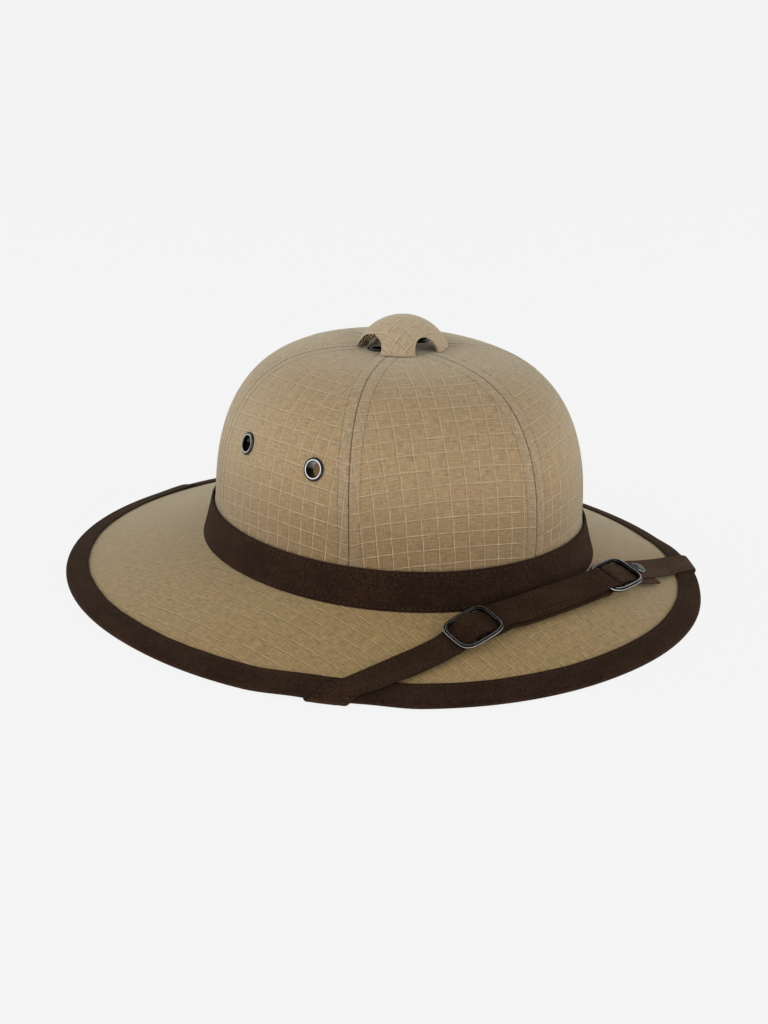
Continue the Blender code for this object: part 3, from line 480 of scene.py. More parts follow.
def crown_point(angle, level, inset=0.0):
    """Level -1 is the band line, 0 the foot of the dome and 1 the apex."""
    angle, level = np.broadcast_arrays(np.asarray(angle, float), np.asarray(level, float))
    flare = np.clip(-level, 0, 1) ** BAND_FLARE_POWER
    half_length = CROWN_HALF_LENGTH + (CROWN_FOOT_HALF_LENGTH - CROWN_HALF_LENGTH) * flare
    half_width = CROWN_HALF_WIDTH + (CROWN_FOOT_HALF_WIDTH - CROWN_HALF_WIDTH) * flare
    dome_level = np.clip(level, 0, 1)
    turn = dome_level * math.pi / 2
    shrink = np.clip(np.cos(turn), 0, None) ** (2 / CROWN_SIDE_POWER)
    rise = np.sin(turn) ** (2 / CROWN_TOP_POWER)
    squareness = 2 + (HEAD_SQUARENESS - 2) * (1 - dome_level)
    centre_y = CROWN_Y - CROWN_APEX_FORWARD * rise
    x, y = ring((half_length - inset) * shrink, (half_width - inset) * shrink, squareness, centre_y, angle)
    wave = BAND_WAVE * np.cos(np.radians(2 * angle))
    wall_z = (1 + level) * (SPRING_HEIGHT + wave)
    dome_z = SPRING_HEIGHT + (CROWN_HEIGHT - inset - SPRING_HEIGHT) * rise + wave * shrink
    return np.stack([x, y, BAND_LINE_Z + np.where(level > 0, dome_z, wall_z)], -1)


def crown_normal(angle, level):
    step = 0.004
    around = crown_point(angle + 1, level) - crown_point(angle - 1, level)
    upward = crown_point(angle, level + step) - crown_point(angle, level - step)
    return unit(np.cross(around, upward))


def gore_angle(gore, station, level):
    """The angle of a station between two seams, 0 on the gore's own seam and 1 on the next."""
    rise = np.clip(level, 0, 1)
    start, end = SEAMS[gore], SEAMS[(gore + 1) % len(SEAMS)]
    first = start["at_band"] + (start["at_apex"] - start["at_band"]) * rise
    last = end["at_band"] + (end["at_apex"] - end["at_band"]) * rise
    return first + ((last - first) % 360) * station


# ---------------------------------------------------------------- making meshes


def place_object(name, data):
    """A new object at the origin of the scene."""
    made = bpy.data.objects.new(name, data)
    bpy.context.scene.collection.objects.link(made)
    return made


def soften(mesh, sharp_from=SHARP_FROM):
    """Shades a mesh smoothly, but for the edges where its faces turn by more than this angle."""
    mesh.shade_smooth()
    mesh.set_sharp_from_angle(angle=math.radians(sharp_from))


def vertex_places(mesh):
    """A mesh's points, in millimetres."""
    points = np.zeros(len(mesh.vertices) * 3)
    mesh.vertices.foreach_get("co", points)
    return points.reshape(-1, 3) / MM


def no_cloth(numbers):
    """Cloth coordinates for a grid whose finish doesn't read them."""
    return np.zeros(numbers.shape + (2,))


class Shell:
    """Points, faces and cloth coordinates of one piece, gathered patch by patch."""

    def __init__(self):
        self.points = np.zeros((0, 3))
        self.marks = np.zeros(0)
        self.faces = []
        self.corners = []
        self.zones = []

    def add(self, points, marks=None):
        """Adds points and returns their numbers, in the same arrangement."""
        shape = points.shape[:-1]
        first = len(self.points)
        self.points = np.concatenate([self.points, points.reshape(-1, 3)])
        new = np.full(shape, FAR_FROM_SEAM) if marks is None else marks
        self.marks = np.concatenate([self.marks, new.reshape(-1)])
        return first + np.arange(int(np.prod(shape))).reshape(shape)

    def patch(self, numbers, cloth, zone=0):
        """Joins a grid of points with faces. Repeated points close up into triangles."""
        for row in range(numbers.shape[0] - 1):
            for column in range(numbers.shape[1] - 1):
                cell = ((row, column), (row, column + 1), (row + 1, column + 1), (row + 1, column))
                face, corners = [], []
                for at in cell:
                    if numbers[at] not in face:
                        face.append(int(numbers[at]))
                        corners.append(cloth[at])
                if len(face) > 2:
                    self.faces.append(face)
                    self.corners.extend(corners)
                    self.zones.append(zone)

    def close_ends(self, numbers, cloth, zone=0):
        """Closes the two ends of a tube whose last column repeats its first."""
        ends = ((numbers[0, :-1], cloth[0, :-1]), (numbers[-1, :-1][::-1], cloth[-1, :-1][::-1]))
        for end, places in ends:
            self.faces.append([int(number) for number in end])
            self.corners.extend(places)
            self.zones.append(zone)

    def make(self, name, *materials):
        """Makes the mesh object, with its faces turned outwards."""
        mesh = bpy.data.meshes.new(name)
        mesh.from_pydata((self.points * MM).tolist(), [], self.faces)
        mesh.uv_layers.new(name=CLOTH_UV).data.foreach_set("uv", np.array(self.corners).reshape(-1))
        mesh.attributes.new(SEAM_MARK, "FLOAT", "POINT").data.foreach_set("value", self.marks)
        mesh.polygons.foreach_set("material_index", self.zones)
        for material in materials:
            mesh.materials.append(material)
        shell = bmesh.new()
        shell.from_mesh(mesh)
        if shell.calc_volume(signed=True) < 0:
            bmesh.ops.reverse_faces(shell, faces=shell.faces)
        shell.to_mesh(mesh)
        shell.free()
        soften(mesh)
        return place_object(name, mesh)


def applied(piece):
    """Turns a piece's modifiers into plain mesh."""
    bpy.context.view_layer.update()
    mesh = bpy.data.meshes.new_from_object(piece.evaluated_get(bpy.context.evaluated_depsgraph_get()))
    piece.modifiers.clear()
    piece.data = mesh
    return piece


def dress(piece, *nodes):
    """The piece moves with the hat and stands for these solids."""
    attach(piece, "root")
    if nodes:
        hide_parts(*nodes)


def hoop(name, rows, cloth, material, node):
    """A piece that goes all the way round the hat, through rows of points that lead back to the first."""
    shell = Shell()
    numbers = closed(shell.add(np.stack(rows)))
    cloth = np.stack(cloth)
    shell.patch(np.concatenate([numbers, numbers[:1]]), np.concatenate([cloth, cloth[:1]]))
    dress(shell.make(name, material), node)


def cut_out(piece, bodies, rounding=0.0):
    """Cuts bodies out of a piece, rounds its edges off where that is asked, and removes the bodies."""
    for body in bodies:
        cut = piece.modifiers.new("cut", "BOOLEAN")
        cut.operation = "DIFFERENCE"
        cut.solver = "EXACT"
        cut.object = body
    if rounding > 0:
        soft = piece.modifiers.new("rounding", "BEVEL")
        soft.width = rounding * MM
        soft.segments = 3
        soft.limit_method = "ANGLE"
        soft.angle_limit = math.radians(SHARP_FROM)
    applied(piece)
    for body in bodies:
        bpy.data.objects.remove(body)


def turned(name, section, sides, origin, axis, *materials):
    """A section of (radius, height, mark) rows turned round an axis. Rows from axis to axis close there."""
    axis = unit(np.array(axis, float))
    across = unit(np.cross(axis, [0.31, 0.95, 0.1]))
    other = np.cross(axis, across)
    turn = np.radians(np.arange(sides) * 360 / sides)
    spokes = across * np.cos(turn)[:, None] + other * np.sin(turn)[:, None]
    rows = np.array(section, float)
    centres = np.array(origin) + axis * rows[:, 1:2]
    grid = centres[:, None, :] + rows[:, None, 0:1] * spokes[None, :, :]
    shell = Shell()
    numbers = shell.add(grid, np.repeat(rows[:, 2:3], sides, 1))
    for row, radius in enumerate(rows[:, 0]):
        if radius == 0:
            numbers[row] = numbers[row, 0]
    on_axis = rows[0, 0] == 0
    numbers = closed(numbers)
    run = path_length(rows[:, :2], 0)
    around = np.degrees(turn)
    cloth = np.stack(np.meshgrid(np.append(around, 360.0) * TURNED_CLOTH, run), -1)
    if not on_axis:
        numbers = np.concatenate([numbers, numbers[:1]])
        cloth = np.concatenate([cloth, cloth[:1]])
    shell.patch(numbers, cloth)
    piece = shell.make(name, *materials)
    tidy = bmesh.new()
    tidy.from_mesh(piece.data)
    bmesh.ops.delete(tidy, geom=[v for v in tidy.verts if not v.link_faces], context="VERTS")
    tidy.to_mesh(piece.data)
    tidy.free()
    return piece


# ---------------------------------------------------------------- shader maths


class Signal:
    """A number, colour or vector on its way between nodes. Arithmetic on it adds Math nodes."""

    def __init__(self, finish, socket):
        self.finish = finish
        self.socket = socket

    def maths(self, operation, *values):
        return self.finish.maths(operation, *values)

    def __add__(self, other):
        return self.maths("ADD", self, other)

    def __radd__(self, other):
        return self.maths("ADD", other, self)

    def __sub__(self, other):
        return self.maths("SUBTRACT", self, other)

    def __rsub__(self, other):
        return self.maths("SUBTRACT", other, self)

    def __mul__(self, other):
        return self.maths("MULTIPLY", self, other)

    def __rmul__(self, other):
        return self.maths("MULTIPLY", other, self)

    def __truediv__(self, other):
        return self.maths("DIVIDE", self, other)


SOCKET_NAMES = {
    "specular_ior_level": "Specular IOR Level",
    "sheen_weight": "Sheen Weight",
    "sheen_roughness": "Sheen Roughness",
}


class Finish:
    """A material being built round its Principled shader."""

    def __init__(self, name, roughness, metallic=0.0, **fixed):
        self.material = bpy.data.materials.new(name)
        self.material.use_nodes = True
        self.tree = self.material.node_tree
        self.shader = self.tree.nodes["Principled BSDF"]
        self.shader.inputs["Roughness"].default_value = roughness
        self.shader.inputs["Metallic"].default_value = metallic
        for socket, value in fixed.items():
            self.shader.inputs[SOCKET_NAMES[socket]].default_value = value

    def node(self, kind, settings=None, sockets=(), output=0):
        """Adds a node: its settings first, then the values or links of its sockets."""
        made = self.tree.nodes.new(kind)
        for key, value in (settings or {}).items():
            setattr(made, key, value)
        for key, value in sockets.items() if isinstance(sockets, dict) else enumerate(sockets):
            self.feed(made.inputs[key], value)
        return Signal(self, made.outputs[output])

    def maths(self, operation, *values):
        return self.node("ShaderNodeMath", {"operation": operation}, values)

    def feed(self, socket, value):
        if isinstance(value, Signal):
            self.tree.links.new(value.socket, socket)
        else:
            socket.default_value = value

    def set(self, socket, value):
        self.feed(self.shader.inputs[socket], value)

    def cloth(self):
        """Millimetres along and across the piece's cloth."""
        uv = self.node("ShaderNodeUVMap", {"uv_map": CLOTH_UV})
        return (self.node("ShaderNodeSeparateXYZ", None, [uv], output) for output in (0, 1))

    def mark(self):
        return self.node("ShaderNodeAttribute", {"attribute_name": SEAM_MARK}, (), "Fac")

    def object_place(self):
        return self.node("ShaderNodeTexCoord", None, (), "Object")

    def place(self, u, v, w=0.0):
        return self.node("ShaderNodeCombineXYZ", None, [u, v, w])

    def noise(self, place, scale=1.0, detail=2.0, roughness=0.5):
        """Noise that is 0 on average and stays within about half either way."""
        sockets = {"Vector": place, "Scale": scale, "Detail": detail, "Roughness": roughness}
        return self.node("ShaderNodeTexNoise", {"noise_dimensions": "3D"}, sockets) - 0.5

    def step(self, value, start, end, low=0.0, high=1.0):
        """A smooth step from low at the start to high at the end."""
        settings = {"interpolation_type": "SMOOTHSTEP"}
        return self.node("ShaderNodeMapRange", settings, [value, start, end, low, high])

    def mix(self, share, first, second):
        settings = {"data_type": "RGBA"}
        return self.node("ShaderNodeMix", settings, {0: share, 6: first, 7: second}, 2)

    def stain(self, share, body, colour):
        """The body multiplied by the colour, as far as the share says."""
        settings = {"data_type": "RGBA", "blend_type": "MULTIPLY"}
        return self.node("ShaderNodeMix", settings, {0: share, 6: body, 7: colour}, 2)

    def tint(self, colour, amount):
        """The colour times an amount, the same in all three channels."""
        vector = colour if isinstance(colour, Signal) else colour[:3]
        return self.node("ShaderNodeVectorMath", {"operation": "SCALE"}, {0: vector, 3: amount})

    def relief(self, height, strength=1.0):
        """Height in millimetres, felt through the normal."""
        sockets = {"Strength": strength, "Distance": MM, "Height": height}
        self.set("Normal", self.node("ShaderNodeBump", None, sockets))

    def weave(self, u, v, pitch):
        """Threads that pass over and under each other."""
        turn = 2 * math.pi / pitch
        return self.maths("SINE", u * turn) * self.maths("SINE", v * turn)


# ---------------------------------------------------------------- finishes


def ripstop_grid(cloth, u, v, across_share):
    """How strongly a thicker thread shows at each place, and the painted shadow beside it."""
    lie_u = u + cloth.noise(cloth.place(u, v), 0.045, 1.0) * 1.3
    lie_v = v + cloth.noise(cloth.place(v, u, 40.0), 0.045, 1.0) * 1.3
    ribs, shadows = [], []
    for across, along, shift, share in ((lie_u, lie_v, 0.0, 1.0), (lie_v, lie_u, 70.0, across_share)):
        wander = cloth.noise(cloth.place(along * 0.5, shift, 5.0), 1.0, 1.0) * 0.22
        side = (cloth.maths("FRACT", across / RIB_PITCH) - 0.5) * RIB_PITCH + wander
        number = cloth.maths("FLOOR", across / RIB_PITCH)
        uneven = cloth.noise(cloth.place(number * 3.7, along * 0.13, shift), 1.0, 2.0) * 2.0
        dotted = cloth.noise(cloth.place(number * 5.3, along * 0.9, shift), 1.0, 2.0) * 1.6
        strength = cloth.node("ShaderNodeClamp", None, [0.62 + uneven + dotted, 0.06, 1.0]) * share
        ribs.append(cloth.step(cloth.maths("ABSOLUTE", side), RIB_HALF_WIDTH, 0.08) * strength)
        beside = cloth.maths("ABSOLUTE", side + RIB_SHADOW_OFFSET)
        shadows.append(cloth.step(beside, 0.46, 0.1) * strength)
    return cloth.maths("MAXIMUM", *ribs), cloth.maths("MAXIMUM", *shadows)


def ripstop(
    name,
    low,
    high,
    rib_colour,
    rib_share=0.85,
    across_share=1.0,
    rib_shadow_depth=0.2,
    streak=0.8,
    roughness=0.9,
    specular=0.12,
):
    """Plain-weave cloth with a square grid of thicker, paler threads, painted shadows beside them, and its
    seams with painted shade along their creases. The low colour is at the crown's foot and the high one at
    its top: painted light that makes the crown paler towards its top."""
    cloth = Finish(name, roughness, specular_ior_level=specular, sheen_weight=SHEEN, sheen_roughness=0.4)
    cloth.shader.inputs["Sheen Tint"].default_value = SHEEN_TAN
    u, v = cloth.cloth()
    seam = cloth.mark()
    rib, shadow = ripstop_grid(cloth, u, v, across_share)
    weave = cloth.weave(u, v, THREAD_PITCH)
    weft = cloth.noise(cloth.place(u * 0.2, v * 2.1, 11.0), 1.0, 2.0, 0.5)
    warp = cloth.noise(cloth.place(u * 2.1, v * 0.2, 31.0), 1.0, 2.0, 0.5)
    fleck = cloth.noise(cloth.place(u, v, 5.0), 3.0, 2.0, 0.5)
    patch = cloth.noise(cloth.place(u, v, 90.0), 0.06, 3.0, 0.6)
    # Painted light: by its height, the crown's cloth goes from the low colour at its foot to the paler high
    # colour at its top.
    level = cloth.node("ShaderNodeSeparateXYZ", None, [cloth.object_place()], 2) / MM
    body = cloth.mix(cloth.step(level, PAINTED_LIGHT_START, PAINTED_LIGHT_END), low, high)
    body = cloth.stain(cloth.step(patch, -0.14, 0.14), body, CLOTH_GREENER)
    shade = 1.0 + weft * 1.1 + warp * streak + fleck * 0.7 + weave * 0.1 + patch * 0.1
    # Painted shadow: the cloth is darker beside each thicker thread.
    body = cloth.tint(body, shade - shadow * rib_shadow_depth)
    allowance = cloth.step(seam, TOPSTITCH_OFFSET + 0.3, TOPSTITCH_OFFSET - 0.7)
    body = cloth.mix(rib * (rib_share - allowance * 0.3), body, cloth.tint(rib_colour, 1.0 + fleck * 0.6))
    body = cloth.stain(allowance, body, ALLOWANCE_TINT)
    # Painted shade: the cloth is darkened along each seam, in the crease where it dips.
    wiggle = cloth.noise(cloth.place(u * 0.9, v * 0.9, 61.0), 1.0, 1.0)
    crease = cloth.step(seam + fleck * 0.7 + wiggle * 0.7, 0.5, 0.1)
    body = cloth.stain(crease, body, CREASE_PAINTED_SHADE)
    cloth.set("Base Color", body)
    height = rib * 0.10 - shadow * 0.05 + weave * 0.03 + (weft + warp) * 0.15 + fleck * 0.12
    pucker = cloth.noise(cloth.place(u, v, 7.0), 0.35, 1.0) * cloth.step(seam, 9.0, 2.0)
    cloth.relief(height + pucker * 0.4)
    return cloth.material


def canvas(name, colour, worn, streak=1.6):
    """Dark plain canvas, with its threads' streaks along and across the strip."""
    cloth = Finish(name, 0.92, specular_ior_level=0.03, sheen_weight=TRIM_SHEEN, sheen_roughness=0.45)
    cloth.shader.inputs["Sheen Tint"].default_value = SHEEN_BROWN
    u, v = cloth.cloth()
    weave = cloth.weave(u, v, CANVAS_PITCH)
    along = cloth.noise(cloth.place(u * 0.3, v * 1.8, 3.0), 1.0, 3.0, 0.65)
    across = cloth.noise(cloth.place(u * 1.8, v * 0.3, 23.0), 1.0, 3.0, 0.65)
    fleck = cloth.noise(cloth.place(u, v, 51.0), 1.5, 3.0, 0.7)
    patch = cloth.noise(cloth.place(u * 0.5, v, 71.0), 0.12, 2.0)
    body = cloth.mix(cloth.step(patch, -0.15, 0.2), colour, worn)
    shade = 1.0 + (along + across) * streak + fleck * 2.4 + weave * 0.15
    cloth.set("Base Color", cloth.tint(body, shade))
    cloth.relief(weave * 0.05 + (along + across) * 0.12 + fleck * 0.14)
    return cloth.material


def plain_lining(name, colour):
    """Plain cloth, inside the crown; in near-black it is the painted shade inside the cap."""
    cloth = Finish(name, 0.95)
    place = cloth.object_place()
    fleck = cloth.noise(place, 900.0, 2.0, 0.7)
    broad = cloth.noise(place, 25.0, 2.0)
    cloth.set("Base Color", cloth.tint(colour, 1.0 + fleck * 0.6 + broad * 0.3))
    cloth.relief(fleck * 0.15)
    return cloth.material


def thread(name, colour):
    """Twisted sewing thread; in dark colours, the same finish paints the shadows of the needle holes."""
    yarn = Finish(name, 0.85, specular_ior_level=0.08)
    uneven = yarn.noise(yarn.object_place(), 1500.0, 2.0, 0.6)
    yarn.set("Base Color", yarn.tint(colour, 1.0 + uneven * 0.9))
    yarn.relief(uneven * 0.1)
    return yarn.material


def gunmetal(name, dark, bright, polish=0.16):
    """Blackened metal with a highlight painted on where the mark is high."""
    metal = Finish(name, polish, metallic=1.0)
    smear = metal.noise(metal.object_place(), 350.0, 3.0, 0.6)
    painted_highlight = metal.step(metal.mark() + smear * 0.25, 0.3, 0.8)
    metal.set("Base Color", metal.mix(painted_highlight, dark, bright))
    metal.set("Roughness", polish + smear * 0.06 + painted_highlight * 0.28)
    metal.relief(smear * 0.02)
    return metal.material


crown_ripstop = ripstop("crown_ripstop", CLOTH_TAN, CLOTH_PAINTED_LIGHT_TOP, CLOTH_RIB)
brim_ripstop = ripstop(
    "brim_ripstop",
    CLOTH_BRIM,
    CLOTH_BRIM,
    CLOTH_RIB,
    rib_share=0.6,
    across_share=0.5,
    rib_shadow_depth=0.36,
    streak=1.6,
    roughness=0.6,
    specular=0.2,
)
cap_ripstop = ripstop("cap_ripstop", CLOTH_CAP_PAINTED_LIGHT, CLOTH_CAP_PAINTED_LIGHT, CAP_RIB_PAINTED_LIGHT, rib_share=0.75, rib_shadow_depth=0.3)
crown_lining = plain_lining("crown_lining", LINING_TAN)
cap_painted_shade_lining = plain_lining("cap_painted_shade_lining", LINING_PAINTED_SHADE)
band_canvas = canvas("band_canvas", TRIM_BROWN, TRIM_WORN)
binding_canvas = canvas("binding_canvas", TRIM_BROWN, TRIM_WORN)
strap_canvas = canvas("strap_canvas", STRAP_BROWN, STRAP_WORN)
worn_canvas = canvas("worn_canvas", SHORT_BROWN, SHORT_WORN)
tan_thread = thread("tan_thread", THREAD_TAN)
brown_thread = thread("brown_thread", THREAD_BROWN)
worn_thread = thread("worn_thread", THREAD_WORN)
tan_shadow = thread("tan_shadow", HOLE_SHADOW_TAN)
brown_shadow = thread("brown_shadow", HOLE_SHADOW_BROWN)
eyelet_metal = gunmetal("eyelet_metal", METAL_DARK, METAL_HIGHLIGHT)
buckle_metal = gunmetal("buckle_metal", WIRE_DARK, WIRE_HIGHLIGHT, 0.08)
rivet_metal = gunmetal("rivet_metal", RIVET_DARK, METAL_HIGHLIGHT, 0.33)
fray_thread = thread("fray_thread", FRAY_BROWN)
pale_fray_thread = thread("pale_fray_thread", FRAY_PALE)

# ---------------------------------------------------------------- the crown


def crown_stations():
    """Stations across a gore, close together at its seams and topstitching."""
    near = [0.0, 0.003, 0.007, 0.012, 0.02, 0.03, 0.04, 0.05, 0.056, 0.062, 0.07, 0.085, 0.11]
    middle = [0.11 + 0.78 * i / 18 for i in range(1, 18)]
    return np.array(near + middle + [1 - s for s in reversed(near)])


def crown_levels(count):
    """Levels at even distances up the middle of the crown's wall and dome."""
    levels = np.concatenate([np.linspace(-1, 0, 30)[:-1], np.linspace(0, 0.985, 400)])
    length = path_length(crown_point(330.0, levels), 0)
    return np.interp(np.linspace(0, length[-1], count), length, levels)


def gore_grid(gore, stations, levels, inset=0.0):
    angles = gore_angle(gore, stations[None, :], levels[:, None])
    return crown_point(angles, levels[:, None] + 0 * stations[None, :], inset)


def seam_distance(points):
    """Distance of each point of a gore's grid from the nearer of its two seams."""
    across = path_length(points, 1)
    return np.minimum(across, across[:, -1:] - across)


def sewn_inset(distance):
    """How far the cloth dips at the seam and its topstitching, and swells over the seam allowance."""
    crease = SEAM_DIP * near_line(distance, 0.35)
    swell = ease(distance, 0.3, 1.6) * ease(distance, TOPSTITCH_OFFSET, TOPSTITCH_OFFSET - 1.6)
    dent = TOPSTITCH_DIP * near_line(distance - TOPSTITCH_OFFSET, 0.45)
    return crease + dent - ALLOWANCE_SWELL * swell


def gore_cloth(gore, points, levels):
    """Where each point of a gore's grid is on its flat piece of cloth."""
    lay = GORE_CLOTH[gore]
    middle = points.shape[1] // 2
    across = path_length(points, 1)
    u = across - across[:, middle : middle + 1]
    up = path_length(points[:, middle], 0)
    up = (up - np.interp(0.0, levels, up))[:, None] + 0 * u
    near = np.clip(1 - up / 75, 0, 1.2) ** 2
    laid_u = u * (1 + lay["squeeze"] * near) - lay["lean"] * near + lay["slide_u"]
    laid_v = up + lay["bow"] * (u - lay["bow_centre"]) ** 2 + lay["slide_v"]
    return np.stack([laid_u, laid_v], -1)


def eyelet_place(eyelet):
    """Where an eyelet's middle is on the crown, and the direction outwards there."""
    origin = crown_point(eyelet["angle"], eyelet["level"])
    return origin, crown_normal(eyelet["angle"], eyelet["level"])


def eyelet_drill(eyelet):
    """A plug through the crown's wall, as wide as the eyelet's hole."""
    outside, inside = DRILL_REACH
    outline = ((0.0, outside), (EYELET_HOLE, outside), (EYELET_HOLE, inside), (0.0, inside))
    section = [(radius, height, FAR_FROM_SEAM) for radius, height in outline]
    return turned("drill", section, 40, *eyelet_place(eyelet), crown_lining)


def crown_shell():
    """The crown's cloth gore by gore, its inner wall, and the rim that joins them."""
    stations, levels, inner_levels = crown_stations(), crown_levels(96), crown_levels(30)
    shell = Shell()
    grids, cloths, marks = [], [], []
    for gore in range(len(SEAMS)):
        bare = gore_grid(gore, stations, levels)
        distance = seam_distance(bare)
        fade = ease(levels, *SEAM_RELIEF_ENDS)[:, None]
        grids.append(gore_grid(gore, stations, levels, sewn_inset(distance) * fade)[:, :-1])
        marks.append(distance[:, :-1])
        cloths.append(gore_cloth(gore, bare, levels))
    outer = shell.add(np.concatenate(grids, 1), np.concatenate(marks, 1))
    inner_grids = [gore_grid(g, stations, inner_levels, CROWN_WALL)[:, :-1] for g in range(len(SEAMS))]
    inner = shell.add(np.concatenate(inner_grids, 1))
    hems = []
    for rows in (outer, inner):
        hem = shell.points[rows[0]].copy()
        hem[:, 2] -= CROWN_RIM_DROP
        hems.append(shell.add(hem[None]))
    poles = [shell.add(crown_point(0.0, 1.0, inset)[None, None]) for inset in (0.0, CROWN_WALL)]
    count = len(stations) - 1
    for gore in range(len(SEAMS)):
        columns = np.arange(gore * count, (gore + 1) * count + 1) % outer.shape[1]
        pole = np.full((1, count + 1), poles[0][0, 0])
        numbers = np.concatenate([hems[0][:, columns], outer[:, columns], pole])
        cloth = cloths[gore]
        # The cloth hangs on below the crown's foot, and runs together in one place at the apex.
        below = cloth[:1] - np.array([0.0, CROWN_RIM_DROP])
        above = np.array([[0.0, 1.0]]) * (cloth[-1:, :, 1:] + 3.0)
        above = above + np.array([cloth[-1, count // 2, 0], 0.0])
        shell.patch(numbers, np.concatenate([below, cloth, above]))
    numbers = np.concatenate([hems[1], inner, np.full((1, inner.shape[1]), poles[1][0, 0])])
    numbers = closed(numbers)[::-1]
    shell.patch(numbers, no_cloth(numbers), 1)
    rim = closed(np.concatenate([hems[1], hems[0]]))
    shell.patch(rim, no_cloth(rim), 1)
    return shell


def make_crown():
    crown = crown_shell().make("crown_cloth", crown_ripstop, crown_lining)
    cut_out(crown, [eyelet_drill(eyelet) for eyelet in EYELETS])
    soften(crown.data, CROWN_SHARP_FROM)
    dress(crown, "crown")


# ---------------------------------------------------------------- the brim, its binding and the band


def around_hat(count):
    """Angles round the hat, with more of them where the strap lifts the edge."""
    angles = list(np.arange(count) * 360 / count)
    for crossing in STRAP_CROSSINGS.values():
        angles += [(crossing["side"] * (crossing["lift"] + off)) % 360 for off in np.arange(-9.5, 9.6, 0.5)]
    angles = np.unique(np.round(angles, 4))
    return angles[np.concatenate([[True], np.diff(angles) > 0.3])]


def brim_cloth_place(points):
    """The brim's cloth is cut flat, nearly square to the hat."""
    turn = math.radians(BRIM_CLOTH_TURN)
    u = points[..., 0] * math.cos(turn) + points[..., 1] * math.sin(turn)
    v = points[..., 1] * math.cos(turn) - points[..., 0] * math.sin(turn)
    return np.stack([u, v], -1) * BRIM_CLOTH_STRETCH + np.array(BRIM_CLOTH_SLIDE)


def make_brim():
    angles = around_hat(220)
    reach = brim_span(angles) + BRIM_REACH_UNDER_BAND
    half_turn = math.pi * BRIM_HALF_THICKNESS
    runs = [-reach * (1 - i / 34) for i in range(34)]
    runs += [half_turn * i / 4 for i in range(5)]
    runs += [half_turn + reach * i / 20 for i in range(1, 21)]
    grid = [skin(angles, run, BRIM_HALF_THICKNESS)[0] for run in runs]
    cloth = brim_cloth_place(closed(np.stack(grid)))
    hoop("brim_cloth", grid, cloth, brim_ripstop, "brim")


def binding_lap(angle):
    """Extra thickness where the tape's folded end laps over its start, at the back of the hat."""
    return BINDING_LAP * ease(angle, LAP_FADE, LAP_START) * ease(angle, LAP_START - LAP_STEP, LAP_START)


def binding_sway(along):
    """How far the tape's sewn edges wander along its run. They come back to nothing at its ends."""
    here = along[:-1]
    sway = 0.12 * np.sin(here * 0.11) + 0.08 * np.sin(here * 0.31 + 1.0)
    return sway * np.sin(np.pi * np.clip(here / along[-1], 0, 1)) ** 0.2


def make_binding():
    """The folded tape: its outer face from the top round the edge to underneath, then its inner face."""
    angles = np.sort(np.append(around_hat(300), (LAP_START - LAP_STEP, LAP_START)))
    along = path_length(closed(brim_mid(angles, 1.0)[None])[0], 0)
    sway = binding_sway(along)
    outer_turn = math.pi * EDGE_RADIUS
    inner_radius = BRIM_HALF_THICKNESS + BINDING_GAP
    inner_turn = math.pi * inner_radius
    outer_runs = [-BINDING_WIDTH * (1 - i / 8) for i in range(8)]
    outer_runs += [outer_turn * i / 14 for i in range(15)]
    outer_runs += [outer_turn + BINDING_WIDTH * i / 8 for i in range(1, 9)]
    inner_runs = [inner_turn + BINDING_WIDTH]
    inner_runs += [inner_turn * (1 - i / 6) for i in range(7)]
    inner_runs += [-BINDING_WIDTH]
    rows = [(run, EDGE_RADIUS) for run in outer_runs] + [(run, inner_radius) for run in inner_runs]
    grid, cloth = [], []
    for run, radius in rows:
        end = max(-run, run - math.pi * radius) / BINDING_WIDTH
        height = radius + 0 * angles
        if radius == EDGE_RADIUS:
            dent = BINDING_DENT * near_line((end - 1) * BINDING_WIDTH + STITCH_INSET, STITCH_DENT_WIDTH)
            height = height - BINDING_THINNING * ease(end, 0.93, 1.0) - dent + binding_lap(angles)
        shift = sway * ease(end, 0.6, 1.0) * (1 if run > 0 else -1)
        grid.append(pressed(skin(angles, run + shift, height)[0]))
        cloth.append(np.stack([along, np.full(len(along), run)], -1))
    hoop("brim_binding_tape", grid, cloth, binding_canvas, "brim_binding")


def band_point(angle, row, inset=0.0):
    """A point of the hat band: row 0 is its foot and 1 its top."""
    flare = (1 - np.clip(row, 0, 1)) ** BAND_FLARE_POWER
    half_length = BAND_TOP_HALF_LENGTH + (BAND_LINE_HALF_LENGTH - BAND_TOP_HALF_LENGTH) * flare
    half_width = BAND_TOP_HALF_WIDTH + (BAND_LINE_HALF_WIDTH - BAND_TOP_HALF_WIDTH) * flare
    x, y = ring(half_length - inset, half_width - inset, HEAD_SQUARENESS, CROWN_Y, angle)
    height = BAND_HEIGHT + BAND_WAVE * np.cos(np.radians(2 * angle)) - BAND_FOOT_GAP
    return np.stack([x, y, BAND_LINE_Z + BAND_FOOT_GAP + height * row], -1)


